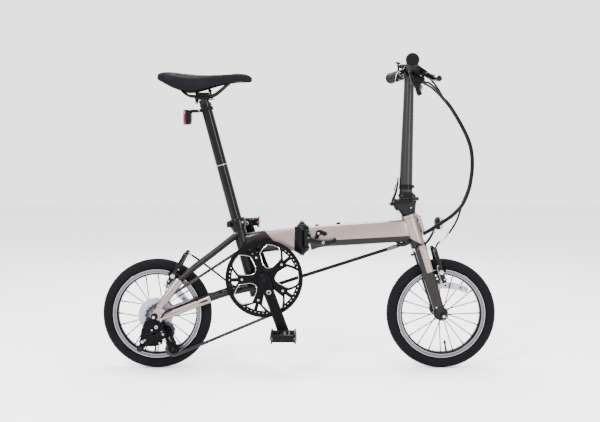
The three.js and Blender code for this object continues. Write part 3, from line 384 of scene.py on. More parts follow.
def block(centre, size, along=V(1, 0, 0)):
    """A box with softened edges. The first of its sizes runs along the given direction."""
    power = 6
    u, v = frame_of(along, V(0, 1, 0) if abs(along.normalized().y) < 0.9 else V(1, 0, 0))
    a = along.normalized()
    half = Vector(size) / 2
    c = min(0.8, half.x / 3)
    ends = [(-half.x, 1.0), (-half.x + c, 0), (half.x - c, 0), (half.x, 1.0)]
    return loft([oval(centre + a * s, u, v, half.y - k * c, half.z - k * c, power, 24) for s, k in ends])


def bolt(at, out, r, h, socket=True):
    """A screw head standing h out of a surface, with a hexagon socket."""
    out = out.normalized()
    u, v = frame_of(out)
    c = min(0.5, h / 3)
    rings = [circle(at + out * s, u, v, k) for s, k in ((-1, r), (h - c, r), (h, r - c))]
    if socket:
        rings.append(circle(at + out * h, u, v, 0.6 * r, 24, 6))
        rings.append(circle(at + out * (h - min(2, 0.8 * h)), u, v, 0.58 * r, 24, 6))
    return loft(rings)


def hex_nut(at, out, r, h):
    return turn(at, at + out, [(0, r), (h - 0.7, r), (h, r - 1)], 24, 6)


def piece(name, body, parts, hides=(), sharp=38):
    """One object from (shape, material) pairs, which rides on a body."""
    mesh = bpy.data.meshes.new(name)
    points, faces, owners, materials = [], [], [], []
    for (shape_points, shape_faces), material in parts:
        if material not in materials:
            materials.append(material)
        base = len(points)
        points += [(p.x * MM, p.y * MM, p.z * MM) for p in shape_points]
        faces += [tuple(base + i for i in f) for f in shape_faces]
        owners += [materials.index(material)] * len(shape_faces)
    mesh.from_pydata(points, [], faces)
    for material in materials:
        mesh.materials.append(material)
    mesh.polygons.foreach_set("material_index", owners)
    work = bmesh.new()
    work.from_mesh(mesh)
    bmesh.ops.recalc_face_normals(work, faces=work.faces)
    work.to_mesh(mesh)
    work.free()
    mesh.polygons.foreach_set("use_smooth", [True] * len(mesh.polygons))
    mesh.set_sharp_from_angle(angle=sharp * RAD)
    made = bpy.data.objects.new(name, mesh)
    bpy.context.scene.collection.objects.link(made)
    if isinstance(body, str):
        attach(made, body)
    if hides:
        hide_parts(*hides)
    return made


# ------------------------------------------------------------ the CAD's driving places, in mm

FRONT, REAR = V(422, 0, 162), V(-422, 0, 162)
HEAD = 17.5 * RAD
STEER = V(-math.sin(HEAD), 0, math.cos(HEAD))
AHEAD = V(math.cos(HEAD), 0, math.sin(HEAD))
SEAT = V(-math.sin(15.1 * RAD), 0, math.cos(15.1 * RAD))
BB = V(-102.5, 0, 271.3)
CRANK = -69.3 * RAD
CHAIN_Y = -43
CHAIN_PITCH = 12.7
RING_TEETH, COG_TEETH, PULLEY_TEETH = 53, 12, 10
GUIDE, TENSION = V(-388, 0, 118), V(-369, 0, 65)
CRANK_LENGTH = 164
SPOKES = 20
# Each brake's pivot in the middle plane, how far out its two arms turn, and the line they stand along.
FRONT_BRAKE, REAR_BRAKE = V(424, 0, 264), V(-381, 0, 259)
BRAKE_OUT = 38
FRONT_ARM, REAR_ARM = V(-25, 0, 93).normalized(), V(44, 0, 78).normalized()
# Directions. Y runs to the rider's left.
LEFT, RIGHT, UP = V(0, 1, 0), V(0, -1, 0), V(0, 0, 1)
POST_HINGE, POST_HINGE_LINE = V(341.5, -22.5, 503), V(1, 1, 0).normalized()


def on_steer(s, out=0, y=0):
    return V(355.9, y, 359.7) + STEER * s + AHEAD * out


def on_seat(t):
    return V(-187.9, 0, 443.6) + SEAT * t


def on_pin(z):
    """A place on the frame hinge's pin."""
    return V(8.5, 32, z)


def pitch_radius(teeth):
    return CHAIN_PITCH / (2 * math.sin(math.pi / teeth))


# ------------------------------------------------------------ wheels


def tyre(centre):
    half = [(131.6, 9.6), (133.5, 12.6), (138, 15.6), (144, 17.3), (149.5, 17.1), (154, 15.4), (157.5, 12.4)]
    half += [(159.2, 9.6), (159.3, 9.2), (160.9, 6.2), (161.0, 5.8), (162, 2.2), (161.2, 1.6), (161.1, 0.6)]
    profile = [(r, -y) for r, y in half] + [(r, y) for r, y in half[::-1]]
    rings, steps = [], 288
    for i in range(steps):
        t = 2 * math.pi * i / steps
        ring = []
        for r, y in profile:
            lug = 152 < r and abs(y) > 5 and (i + (2 if y > 0 else 0)) % 4 == 0
            r -= 1.5 if lug else 0
            ring.append(centre + V(r * math.cos(t), y, r * math.sin(t)))
        rings.append(ring)
    return loft(rings, closed=True)


def rim_parts(centre):
    track = [(119.5, 12), (120, 12.3), (131, 12.3), (131.2, 11), (127, 9.5), (120, 9.5)]
    sides = [lathe([(r, s * y) for r, y in track], centre, 120) for s in (-1, 1)]
    inner = [(119.6, -11.8), (117.2, -10.2), (115.2, -6.6), (114.8, -3), (114.8, 3), (115.2, 6.6),
             (117.2, 10.2)]
    inner += [(119.6, 11.8), (121, 9.4), (121, -9.4)]
    parts = [(s, rim_grey) for s in sides] + [(lathe(inner, centre, 120), gloss)]
    # Three bright silver rings on each brake track are painted highlights: brighter metal where the track's
    # edges catch the light.
    highlight_rings = [lathe([(r, s * 12.2), (r + 0.3, s * 12.7), (r + width, s * 12.7), (r + width + 0.3, s * 12.2)],
                   centre, 120) for s in (-1, 1) for r, width in ((120.6, 1.5), (124.6, 0.8), (128.4, 2.2))]
    return parts + [(line, silver) for line in highlight_rings]


def around(centre, r, angle, y):
    return centre + V(r * math.cos(angle), y, r * math.sin(angle))


def hub_parts(centre, left, right, flange_r, barrel, ends, cross_angle, reach):
    parts = []
    for y in (left, right):
        face = lathe([(5.2, y - 1.6), (flange_r - 0.6, y - 1.6), (flange_r, y - 1), (flange_r, y + 1),
                      (flange_r - 0.6, y + 1.6), (5.2, y + 1.6)], centre, 64)
        parts.append((face, gloss))
    shell = [(5.2, ends[0]), (9.5, ends[0]), (10.5, ends[0] + 3), (10.5, right - 3),
             (barrel + 3, right + 0.5), (barrel, right + 8), (barrel, left - 8), (barrel + 3, left - 0.5),
             (10.5, left + 3), (10.5, ends[1] - 3), (9.5, ends[1]), (5.2, ends[1])]
    parts.append((lathe(shell, centre, 48), gloss))
    for i in range(SPOKES):
        angle = 2 * math.pi * i / SPOKES
        y = left if i % 2 else right
        lean = cross_angle * (1 if (i // 2) % 2 else -1)
        hole = around(centre, flange_r - 3.2, angle + lean, y + (1.9 if y > 0 else -1.9))
        rim_point = around(centre, reach, angle, 0.1 * y)
        parts += [
            (tube([hole, rim_point], 1.5, 8, 2, False), spoke_steel),
            (bolt(hole, V(0, 1 if y > 0 else -1, 0), 1.8, 0.8, False), chrome),
        ]
        nipple = around(centre, reach - 11, angle, 0.1 * y + 0.09 * (hole.y - 0.1 * y))
        parts.append((rod(nipple, rim_point, 1.9, n=8), dark_steel))
    return parts


def valve_parts(centre, angle):
    foot, top = around(centre, 114, angle, 0), around(centre, 84, angle, 0)
    out = top - foot
    return [
        (turn(foot, top, [(0, 3.2), (2, 3.2), (3, 2.6), (20, 2.6), (21, 3.6), (30, 3.4), (31, 2.4)], 16),
         plastic),
        (rod(foot + out * 0.02, foot + out * 0.1, 5, n=6), chrome),
    ]


def spoke_reflector(centre, middle, tilt):
    """A long reflector held between the spokes."""
    out, up = V(math.cos(tilt), 0, math.sin(tilt)), V(-math.sin(tilt), 0, math.cos(tilt))

    def at(k):
        return centre + middle + out * (5.8 * k) - up * (0.09 * k * k)

    rings = []
    for k in range(-8, 9):
        p = at(k)
        half = 9.5 if abs(k) < 8 else 7
        rings.append([p - up * half + V(0, -3, 0), p + up * half + V(0, -3, 0), p + up * half + V(0, 3, 0),
                      p - up * half + V(0, 3, 0)])
    parts = [(loft(rings), clear_lens)]
    for k in (-4, 4):
        p = at(k)
        parts.append((rod(p + V(0, -4.6, 0), p + V(0, 4.6, 0), 3, n=16), plastic))
    for k in range(3, 8):
        p = at(k)
        parts.append((beam([(p - up * 6 + V(0, -3.2, 0), 0.6, 0.6), (p + up * 6 + V(0, -3.2, 0), 0.6, 0.6)],
                           2, 8, 1, 0), plastic))
    return parts


piece("front_tyre_tread", "front_wheel", [(tyre(FRONT), rubber)], ["front_tyre"], 30)
piece("rear_tyre_tread", "rear_wheel", [(tyre(REAR), rubber)], ["rear_tyre"], 30)
piece("front_rim_detail", "front_wheel", rim_parts(FRONT) + valve_parts(FRONT, -82 * RAD),
      ["front_rim"])
piece("rear_rim_detail", "rear_wheel", rim_parts(REAR) + valve_parts(REAR, -93.5 * RAD),
      ["rear_rim"])
piece("front_hub_detail", "front_wheel", hub_parts(FRONT, 22, -22, 20, 12, (-33.5, 33.5), 0, 114.5),
      ["front_hub_and_spokes"])
piece("rear_hub_detail", "rear_wheel", hub_parts(REAR, 33, -31, 23, 14, (-35, 56.5), 0.5, 114.5),
      ["rear_hub_and_spokes"])
piece("front_spoke_reflectors", "front_wheel", spoke_reflector(FRONT, V(37, 0, 80), -9 * RAD))
piece("rear_spoke_reflectors", "rear_wheel", spoke_reflector(REAR, V(62, 0, 60), -42 * RAD))
protector = lathe([(14, -33.6), (49, -33.6), (51, -34.4), (51, -35.2), (49, -35), (14, -35)], REAR, 96)
piece("spoke_protector", "rear_wheel", [(protector, guard_plastic)])


def axle_parts(centre, face, height, nut_r=8.5):
    parts = [(cross(centre.x, centre.z, -face - height - 5, face + height + 5, 4.6, n=20), dark_steel)]
    for side in (-1, 1):
        out = V(0, side, 0)
        at = V(centre.x, side * face, centre.z)
        parts += [
            (rod(at, at + out * 1.6, nut_r + 2, n=32), dark_steel),
            (hex_nut(at + out * 1.4, out, nut_r, height), dark_steel),
            (rod(at + out * (height + 3.6), at + out * (height + 5.6), 4.2, n=20), chrome),
        ]
    return parts


piece("front_axle_detail", "steered_fork", axle_parts(FRONT, 50.4, 6, 7), ["front_axle"])
piece("rear_axle_detail", "rear_frame", axle_parts(REAR, 62.3, 8), ["rear_axle"])

# ------------------------------------------------------------ frame


def frame_parts():
    seat_tube = [
        (turn(on_seat(-237), on_seat(-1), [(0, 17.4), (0, 20), (150, 20), (205, 20), (207, 22), (236, 22),
                                           (236, 17.2)], 48, 0, True), brown),
        (lathe([(9.2, -34), (20.2, -34), (20.8, -33.4), (20.8, 33.4), (20.2, 34), (9.2, 34)], BB, 48),
         brown),
    ]
    for side in (-1, 1):
        cup = lathe([(9.2, side * 34), (17.5, side * 34), (17.5, side * 37), (16.5, side * 38),
                     (9.2, side * 38)], BB, 48)
        seat_tube.append((cup, black))
    piece("seat_tube_detail", "rear_frame", seat_tube, ["seat_tube"])
    rear = [(V(-166, 0, 371), 13, 26), (V(-140, 0, 372), 18, 30), (V(-108, 0, 375.8), 20, 32.8),
            (V(-60, 0, 380.7), 20.5, 32.8), (V(-14.4, 0, 382), 21, 36)]
    weld = rising([(-163, 0, 343, 9, 19), (-166, 0, 372, 10, 20), (-173, 0, 398, 9, 19)])
    piece("main_tube_rear_detail", "rear_frame", [(beam(rear, 3.6, 48), rear_tube_paint), (weld, brown)],
          ["main_tube_rear"])
    front = [(V(29.4, 0, 384.75), 21, 36.75), (V(70, 0, 391.6), 20, 32.8), (V(165, 0, 398), 19, 32.9),
             (V(265, 0, 404.6), 18, 33), (V(308, 0, 407), 17, 33.5), (V(334, 0, 408.2), 12, 33.5)]
    bosses = [(bolt(V(x, 0, z), V(-0.08, 0, 1), 6.5, 4), black) for x, z in ((53, 422), (117, 428))]
    gusset = [
        (beam([(V(288, 0, 378), 6, 5), (V(303, 0, 366), 7, 6), (V(318, 0, 370), 8, 8),
               (V(338, 0, 384), 10, 10)], 3), brown),
        (bolt(V(318, -8, 378), RIGHT, 3.2, 2), chrome),
        (bolt(V(344, -14, 362), RIGHT, 2.6, 4), chrome),
    ]
    stop = (tube([V(309, 0, 366.6), V(290, 0, 361), V(262, 0, 351.8)], 4.6, 16, 4), cog_steel)
    piece("main_tube_front_detail", "front_frame",
          [(beam(front, 3.6, 48), front_tube_paint), *bosses, *gusset, stop], ["main_tube_front"])
    head = [(turn(on_steer(6), on_steer(100),
                  [(0, 15.6), (0, 22.4), (7, 22.8), (8, 21.5), (84, 21.5), (86, 23.4), (94, 23.4),
                   (94, 15.6)], 56, 0, True), head_tube_paint)]
    port = beam([(on_steer(97, 17), 7, 5), (on_steer(84, 25), 9, 5), (on_steer(62, 27), 10, 5),
                 (on_steer(40, 26), 10, 5), (on_steer(30, 17), 8, 4)], 3.4)
    head.append((port, champagne))
    for k in range(5):
        s = 42 + 10 * k
        head.append((beam([(on_steer(s, 31), 10.6, 1.4), (on_steer(s + 3, 32.2), 10.6, 1.2),
                           (on_steer(s + 6, 31), 10.6, 1.4)], 3, 20, 3), champagne))
    head.append((bolt(on_steer(70, 22, -13.5), RIGHT, 3, 2), chrome))
    for s, r in ((1.0, 22.2), (102.4, 21)):
        head.append((turn(on_steer(s - 1), on_steer(s + 5), [(0, 15.7), (0, r), (4.4, r), (4.4, 15.7)], 48,
                          0, True), black))
    piece("head_tube_detail", "front_frame", head, ["head_tube"])


def stay(points, side, radius):
    line = [V(x, side * y, z) for x, y, z in points]
    return tube(line, lambda t: radius * (1 - 0.18 * t), 28, 8)


def sleeve(points, side, tall):
    """The painted end of a stay, deeper than it is wide."""
    shares = [k / (len(points) - 1) for k in range(len(points))]
    stops = [(V(x, side * y, z), tall - 3 - 0.6 * t, tall * (1 - 0.14 * t))
             for (x, y, z), t in zip(points, shares)]
    return beam(stops, 2.3, 36, 6, 1.2)


def dropout(side):
    """The plate that holds the rear axle, with the derailleur's hanger on the right."""
    low, high = (57, 62) if side > 0 else (-62, -57)
    arc = [(REAR.x + 10.8 * math.cos(t * RAD), REAR.z + 10.8 * math.sin(t * RAD))
           for t in range(-60, -215, -15)]
    hanger = [(-402, 146), (-400, 134), (-406, 126), (-416, 127), (-421, 140)] if side < 0 else []
    shape = [(-431, 168), (-416, 187), (-408, 197), (-399, 188), (-388, 176), (-386, 160),
             (-398, 152)] + hanger + arc
    hole = [(REAR.x + 5.2 * math.cos(k * RAD), REAR.z + 5.2 * math.sin(k * RAD)) for k in range(0, 360, 24)]
    return plate(shape, low, high, [hole], 0.8)


def rear_triangle():
    for name, side in (("left", 1), ("right", -1)):
        upper = [(-180, 14, 400), (-245, 28, 349), (-351, 49, 266), (-388, 58.5, 216), (-408, 59.5, 188)]
        lower = [(-128, 26.8, 243), (-175, 29.2, 233), (-217, 30.5, 224), (-288, 38, 200), (-368, 54, 171),
                 (-403, 59.5, 158.5)]
        tip = [(-351, 49, 266), (-388, 58.5, 216), (-409, 59.5, 187)]
        parts = [(stay(upper, side, 9.5), brown), (sleeve(tip, side, 12), champagne)]
        collar = [(-352.6, 49.2, 264.2), (-350.4, 48.7, 267.2)]
        parts.append((sleeve(collar, side, 12.4), silver))
        pivot, up = REAR_BRAKE + V(0, side * BRAKE_OUT, 0), REAR_ARM
        axis = V(up.z, 0, -up.x)
        base = pivot + axis * 12
        parts += [
            (rod(V(-364, side * 50, 250), base, 7), brown),
            (rod(base, pivot - axis * 9, 4), chrome),
        ]
        if side > 0:
            bridge = tube([V(-292, -37, 312), V(-290, 0, 316), V(-292, 37, 312)], 6, 20, 6)
            parts.append((bridge, brown))
        piece(f"seatstay_{name}_detail", "rear_frame", parts, [f"seatstay_{name}"])
        tail = [(-262, 34.8, 209.5), (-288, 38, 200), (-368, 54, 171), (-403, 59.5, 158.5)]
        parts = [
            (stay(lower, side, 9.4), brown),
            (sleeve(tail, side, 11.4), champagne),
            (dropout(side), champagne),
        ]
        collar = [(-264.5, 35.1, 208.6), (-261, 34.7, 209.8)]
        parts.append((sleeve(collar, side, 11.8), silver))
        if side < 0:
            parts.append((bolt(V(-402, -62, 182), RIGHT, 4, 2.5), chrome))
            for x, y, z in ((-232, -33, 236), (-300, -41, 210)):
                parts.append((beam([(V(x - 4, y, z - 5), 5, 7), (V(x + 4, y, z - 8), 5, 7)], 3, 20), plastic))
        else:
            parts.append((tube([V(-196, -29, 229), V(-200, 0, 230), V(-196, 29, 229)], 6, 20, 6), brown))
        piece(f"chainstay_{name}_detail", "rear_frame", parts, [f"chainstay_{name}"])


def hinge_leaf(tube_x, face_x, centre, knuckles, name, body):
    middle, tall = 384.5, 46.5
    levels = [(tube_x, centre, 21.5, 37), (tube_x + 0.3 * (face_x - tube_x), centre, 23, 39),
              (tube_x + 0.6 * (face_x - tube_x), middle, 29, tall), (face_x, middle, 31, tall)]
    rings = []
    for x, z, y, half in levels:
        rings.append(oval(V(x, 1, z), LEFT, UP, y, half, 4.5, 48))
    rings.append(oval(V(face_x + (0.001 if face_x > tube_x else -0.001), 1, middle), LEFT, UP, 29, tall - 2,
                      4.5, 48))
    parts = [(loft(rings), black)]
    for low, high in knuckles:
        parts.append((rod(on_pin(low), on_pin(high), 7.5, n=32, chamfer=0.8), gloss))
    edge = face_x + (-3 if face_x > tube_x else 3)
    for z in (middle + tall + 0.5, middle - tall - 0.5):
        parts.append((rod(V(edge, -18, z), V(edge, 18, z), 3.2, n=20), black))
    piece(name, body, parts, [name.replace("_detail", "")])


def hinge_parts():
    hinge_leaf(-14, 8.25, 382, [(363, 406)], "hinge_leaf_rear_detail", "rear_frame")
    hinge_leaf(29, 8.75, 384.75, [(338, 362.4), (406.6, 431)], "hinge_leaf_front_detail", "front_frame")
    pin = [
        (rod(on_pin(337), on_pin(434), 4, n=24), chrome),
        (bolt(on_pin(431.5), UP, 6.5, 4), chrome),
        (bolt(on_pin(337.5), V(0, 0, -1), 6.5, 4, False), chrome),
    ]
    piece("frame_hinge_pin_detail", "front_frame", pin, ["frame_hinge_pin"])
    lever = [
        (rod(V(20, -37, 364), V(20, -37, 408), 6, n=32), gloss),
        (beam([(V(20, -37, 386), 4, 10), (V(34, -41, 381), 4.5, 9), (V(50, -41.5, 378), 4, 7.5),
               (V(79, -40, 374), 3.5, 7), (V(98, -37, 377), 3.2, 7), (V(110, -35.5, 383), 2.6, 7.5)], 3,
              28), gloss),
        (bolt(V(70.6, -43, 375.5), RIGHT, 4.2, 2.2), chrome),
    ]
    piece("frame_latch_detail", "frame_latch", lever, ["frame_latch_lever"])
    hook = [
        (plate([(46, 386), (52, 409), (62, 411), (80, 404), (82, 397), (74, 394), (66, 398), (60, 396),
                (56, 386)], -26, -22, (), 0.8), plastic),
        (bolt(V(57, -26, 401), RIGHT, 3.4, 2.4), chrome),
        (rod(V(29, -32, 372), V(29, -32, 400), 5, n=24), black),
    ]
    for z in (360.5, 408):
        hook += [
            (block(V(24, -33, z), (14, 12, 6)), black),
            (bolt(V(20, -37, z + (3 if z > 380 else -3)), V(0, 0, 1 if z > 380 else -1), 4, 2.5), dark_steel),
        ]
    piece("frame_safety_hook", "front_frame", hook)
    pivot = V(-207.5, 26.5, 428)
    lever = [
        (rod(pivot - SEAT * 9, pivot + SEAT * 9, 6, n=28), gloss),
        (beam([(pivot, 3.4, 7), (V(-196, 31.5, 430), 3.2, 7), (V(-185, 32, 432), 3, 6.5),
               (V(-158, 29.5, 437), 2.4, 5.5)], 3), gloss),
    ]
    piece("seat_lever_detail", "seat_lever", lever, ["seat_clamp_lever"])
    collar = [
        (turn(on_seat(-25), on_seat(0), [(0, 22.2), (0, 24), (1, 24.8), (23, 24.8), (24.4, 24),
                                         (24.4, 17.2), (23.4, 17.2), (23.4, 22.2)], 56, 0, True), gloss),
        (beam([(on_seat(-21) + V(-22, 0, -5), 12, 8), (on_seat(-3) + V(-22, 0, -5), 12, 8)], 5, 32), gloss),
        (rod(V(-207.5, -17, 428), V(-207.5, 20, 428), 3, n=20), chrome),
        (hex_nut(V(-207.5, -13, 428), RIGHT, 7, 6), gloss),
        (rod(V(-214, -20, 424), V(-203, -20, 426), 6.5, n=24), gloss),
    ]
    piece("seat_collar_detail", "rear_frame", collar, ["seat_clamp_collar"])
    bolts = [
        (bolt(V(-168, -19, 434), RIGHT, 3.2, 3), chrome),
        (bolt(V(-191, -20, 401), RIGHT, 3.2, 3), chrome),
    ]
    piece("seat_tube_bolts", "rear_frame", bolts)


frame_parts()
rear_triangle()
hinge_parts()

# ------------------------------------------------------------ drive


def toothed(teeth, root, tip, centre, start=0.0):
    """The outline of a sprocket, with a gap between teeth at the angle start."""
    half_tip = 0.5 * 0.42 * 0.55
    line = []
    for k in range(teeth):
        for share, r in ((-0.24, root), (0.0, root - 0.6), (0.24, root), (0.5 - half_tip, tip),
                         (0.5 + half_tip, tip)):
            t = start + 2 * math.pi * (k + share) / teeth
            line.append((centre.x + r * math.cos(t), centre.z + r * math.sin(t)))
    return line


def ring_point(r, t):
    return (BB.x + r * math.cos(t), BB.z + r * math.sin(t))


def window(middle):
    """The outline of the chainring's window about the angle middle, from corners (degrees, radius)."""
    corners = ((-8, 100.5), (0, 101), (8, 100.5), (11, 98.6), (18, 87), (24.2, 76.5), (24.6, 73),
               (23.4, 60), (21, 44), (14, 36), (0, 31), (-14, 36), (-21, 44), (-23.4, 60), (-24.6, 73),
               (-24.2, 76.5), (-18, 87), (-11, 98.6))
    return [ring_point(r, middle + a * RAD) for a, r in corners]


def chainset():
    middles = [CRANK + 72 * k * RAD for k in range(5)]
    windows = [window(t) for t in middles]
    small = []
    for t in middles:
        arm = t + 36 * RAD
        for side in (-1, 1):
            corners = ((3.6, 77), (2.8, 95.4), (3.6, 96.6), (16.6, 96.8), (17.2, 95.4), (4.8, 76.6))
            small.append([ring_point(r, arm + side * a * RAD) for a, r in corners])
        for k in range(-3, 4):
            corners = ((-1.5, 101.2), (-0.9, 100.4), (0.9, 100.4), (1.5, 101.2), (1.5, 102.6), (0.9, 103.4),
                       (-0.9, 103.4), (-1.5, 102.6))
            small.append([ring_point(r, arm + (6.7 * k + a) * RAD) for a, r in corners])
    circle_line = [ring_point(113.4, 2 * math.pi * k / 160) for k in range(160)]
    pitch = pitch_radius(RING_TEETH)
    ring_line = toothed(RING_TEETH, pitch - 3.2, pitch + 2.6, BB, CRANK)
    parts = [
        (plate(circle_line, -51, -48.5, windows + small, 0.5), crank_black),
        (plate(ring_line, -44.5, -41.5, windows + small, 0.4), dark_steel),
    ]
    for hole in windows:
        rim = [V(x, -51, z) for x, z in hole]
        parts.append((tube(rim + rim[:1], 0.9, 8, 1, False), chrome))
        rim = [V(x, -44.6, z) for x, z in hole]
        parts.append((tube(rim + rim[:1], 0.6, 8, 1, False), silver))
    for k in range(5):
        t = CRANK + (36 + 72 * k) * RAD
        x, z = ring_point(65, t)
        parts += [
            (cross(x, z, -50, -41.8, 7, n=32), black),
            (bolt(V(x, -50.8, z), RIGHT, 3.4, 1.6), chrome),
        ]
        spider = [V(x, -53.2, z) for x, z in (ring_point(r, t) for r in (14, 36, 57))]
        parts.append((beam([(spider[0], 3, 13), (spider[1], 2.8, 9), (spider[2], 2.2, 7)], 3), crank_black))
    parts.append((lathe([(14, -55.4), (25, -55.4), (28, -53), (30, -49), (14, -49)], BB, 56), crank_black))
    piece("chainring_detail", "crankset", parts, ["chainring"])


def pedal_place(side):
    t = CRANK if side < 0 else CRANK + math.pi
    return V(BB.x + CRANK_LENGTH * math.cos(t), 0, BB.z + CRANK_LENGTH * math.sin(t))


def crank_arm(side):
    t = CRANK if side < 0 else CRANK + math.pi
    along = V(math.cos(t), 0, math.sin(t))

    def at(r, y):
        return BB + along * r + V(0, side * y, 0)

    stops = [(at(-17, 63), 5, 9), (at(-12, 63), 7, 15), (at(0, 63), 7.5, 18.5), (at(26, 64), 6.8, 16.5),
             (at(90, 66), 6.5, 16), (at(140, 68), 6.2, 16.4), (at(164, 69), 6, 15.8),
             (at(174, 69), 5.6, 12), (at(178, 69), 4.4, 7)]
    parts = [(beam(stops, 3.2, 40, 5), crank_black)]
    edge = V(-along.z, 0, along.x) * side
    rib = [at(20, 71.2) + edge * 9, at(60, 72.6) + edge * 10.5, at(120, 74) + edge * 11,
           at(150, 75) + edge * 9]
    parts += [
        (tube(rib, lambda s: 1.6 * math.sin(math.pi * (0.08 + 0.84 * s)) + 0.2, 10, 6), black),
        (lathe([(3.4, side * 70), (12, side * 70), (12, side * 71.4), (10.5, side * 72.4),
                (3.4, side * 72)], BB, 48), crank_black),
        (bolt(at(0, 71.5), V(0, side, 0), 6, 1.4), black),
        (lathe([(4.6, side * 70), (7.4, side * 70), (7.4, side * 72), (6.6, side * 72.6), (4.6, side * 72)],
               at(40, 0), 6), chrome),
        (bolt(at(40, 70.2), V(0, side, 0), 4.7, 1.4), dark_steel),
    ]
    spindle = pedal_place(side)
    parts += [
        (cross(spindle.x, spindle.z, side * 70, side * 146, 5, n=24), chrome),
        (hex_nut(V(spindle.x, side * 75, spindle.z), V(0, side, 0), 8.5, 5), chrome),
        (bolt(V(spindle.x, side * 63.4, spindle.z), V(0, -side, 0), 6, 2), chrome),
    ]
    if side < 0:
        parts.append((cross(BB.x, BB.z, -62, -39, 13.6, n=40), crank_black))
        piece("crank_arm_right_detail", "crankset", parts, ["crank_arm_right"])
    else:
        parts += [
            (cross(BB.x, BB.z, -65.5, 60, 8.8, n=32), chrome),
            (cross(BB.x, BB.z, 40, 60, 14, n=40), crank_black),
        ]
        piece("crank_arm_left_detail", "crankset", parts, ["crank_arm_left"])


def pedal(side):
    p = pedal_place(side)
    parts = []
    y0, y1 = 84, 160
    middle = side * (y0 + y1) / 2
    for dx in (-33, 33):
        parts.append((beam([(V(p.x + dx, middle, p.z - 13.3), 38, 2.6),
                            (V(p.x + dx * 0.97, middle, p.z - 6), 38, 2.2),
                            (V(p.x + dx * 0.97, middle, p.z + 6), 38, 2.2),
                            (V(p.x + dx, middle, p.z + 13.3), 38, 2.6)], 8, 32, 3), plastic))
    for y in (y0 + 3, y1 - 3):
        parts.append((block(V(p.x, side * y, p.z), (70, 6, 20)), plastic))
    parts += [
        (cross(p.x, p.z, side * (y0 + 1), side * y1, 10.5, n=32, chamfer=1.5), plastic),
        (cross(p.x, p.z, side * (y1 - 1), side * (y1 + 1.2), 7, n=24), black),
    ]
    for dx in (-16, 16):
        parts.append((block(V(p.x + dx, middle, p.z), (5, 66, 18)), plastic))
    for y in (y0 + 18, y1 - 18):
        parts.append((block(V(p.x, side * y, p.z), (64, 4, 16)), plastic))
    for dx in (-34, 34):
        for dz in (-13.4, 13.4):
            for k in range(7):
                y = side * (y0 + 5 + 11 * k)
                parts.append((block(V(p.x + dx, y, p.z + dz * 1.04), (3.6, 5, 3)), plastic))
        parts.append((block(V(p.x + dx * 0.99, middle, p.z), (9, 77.4, 13)), amber_lens))
    name = "right" if side < 0 else "left"
    piece(f"pedal_{name}_detail", f"pedal_{name[0]}", parts, [f"pedal_{name}"])


def belt_line(circles):
    """Straight runs and arcs of a belt round circles (centre, radius, turn), as one dense line of (x, z)."""
    leave = []
    for i, (a, ra, ta) in enumerate(circles):
        b, rb, tb = circles[(i + 1) % len(circles)]
        apart = math.hypot(b.x - a.x, b.z - a.z)
        leave.append(math.atan2(b.z - a.z, b.x - a.x) + math.asin((ra * ta - rb * tb) / apart))
    line = []
    for i, (c, r, t) in enumerate(circles):
        begin = leave[i - 1] - t * math.pi / 2
        sweep = (t * (leave[i] - leave[i - 1])) % (2 * math.pi)
        steps = max(6, int(sweep / (2 * RAD)))
        for k in range(steps + 1):
            a = begin + t * sweep * k / steps
            line.append(V(c.x + r * math.cos(a), CHAIN_Y, c.z + r * math.sin(a)))
    return line


def chain():
    circles = [(BB, pitch_radius(RING_TEETH), 1), (REAR, pitch_radius(COG_TEETH), 1),
               (GUIDE, pitch_radius(PULLEY_TEETH), -1), (TENSION, pitch_radius(PULLEY_TEETH), 1)]
    line = belt_line(circles)
    line.append(line[0].copy())
    lengths = [0]
    for a, b in zip(line, line[1:]):
        lengths.append(lengths[-1] + (b - a).length)
    count = 2 * round(lengths[-1] / (2 * CHAIN_PITCH))
    points, k = [], 0
    for n in range(count):
        s = lengths[-1] * n / count
        while lengths[k + 1] < s:
            k += 1
        points.append(line[k].lerp(line[k + 1], (s - lengths[k]) / (lengths[k + 1] - lengths[k])))
    parts = []
    for n, a in enumerate(points):
        b = points[(n + 1) % count]
        along = (b - a).normalized()
        across = V(-along.z, 0, along.x)
        for side in (-1, 1):
            y = side * (2.3 if n % 2 else 1.5)
            rings = []
            for dy in (-0.38, 0.38):
                ring = []
                for t in range(0, 360, 30):
                    c, s = math.cos(t * RAD), math.sin(t * RAD)
                    end = b if c > 0.1 else a if c < -0.1 else (a + b) / 2
                    r = 4.9 if abs(c) > 0.1 else 3.9
                    ring.append(end + along * (r * c if abs(c) > 0.1 else 0) + across * (r * s) + V(0,
                                                                                                    y + dy,
                                                                                                    0))
                rings.append(ring)
            parts.append((loft(rings), chain_metal))
        parts += [
            (cross(a.x, a.z, CHAIN_Y - 3, CHAIN_Y + 3, 1.9, n=8, chamfer=0.2), dark_steel),
            (cross(a.x, a.z, CHAIN_Y - 1.2, CHAIN_Y + 1.2, 3.6, n=12, chamfer=0.2), dark_steel),
        ]
    piece("chain_links", "rear_frame", parts, ["chain"])


def sprocket(teeth, y, centre, material, bore, thick=1.8, start=0.0):
    root, tip = pitch_radius(teeth) - 3.9, pitch_radius(teeth) + 2.2
    hole = [(centre.x + bore * math.cos(k * RAD), centre.z + bore * math.sin(k * RAD))
            for k in range(0, 360, 20)]
    return plate(toothed(teeth, root, tip, centre, start), y - thick / 2, y + thick / 2, [hole],
                 0.3), material


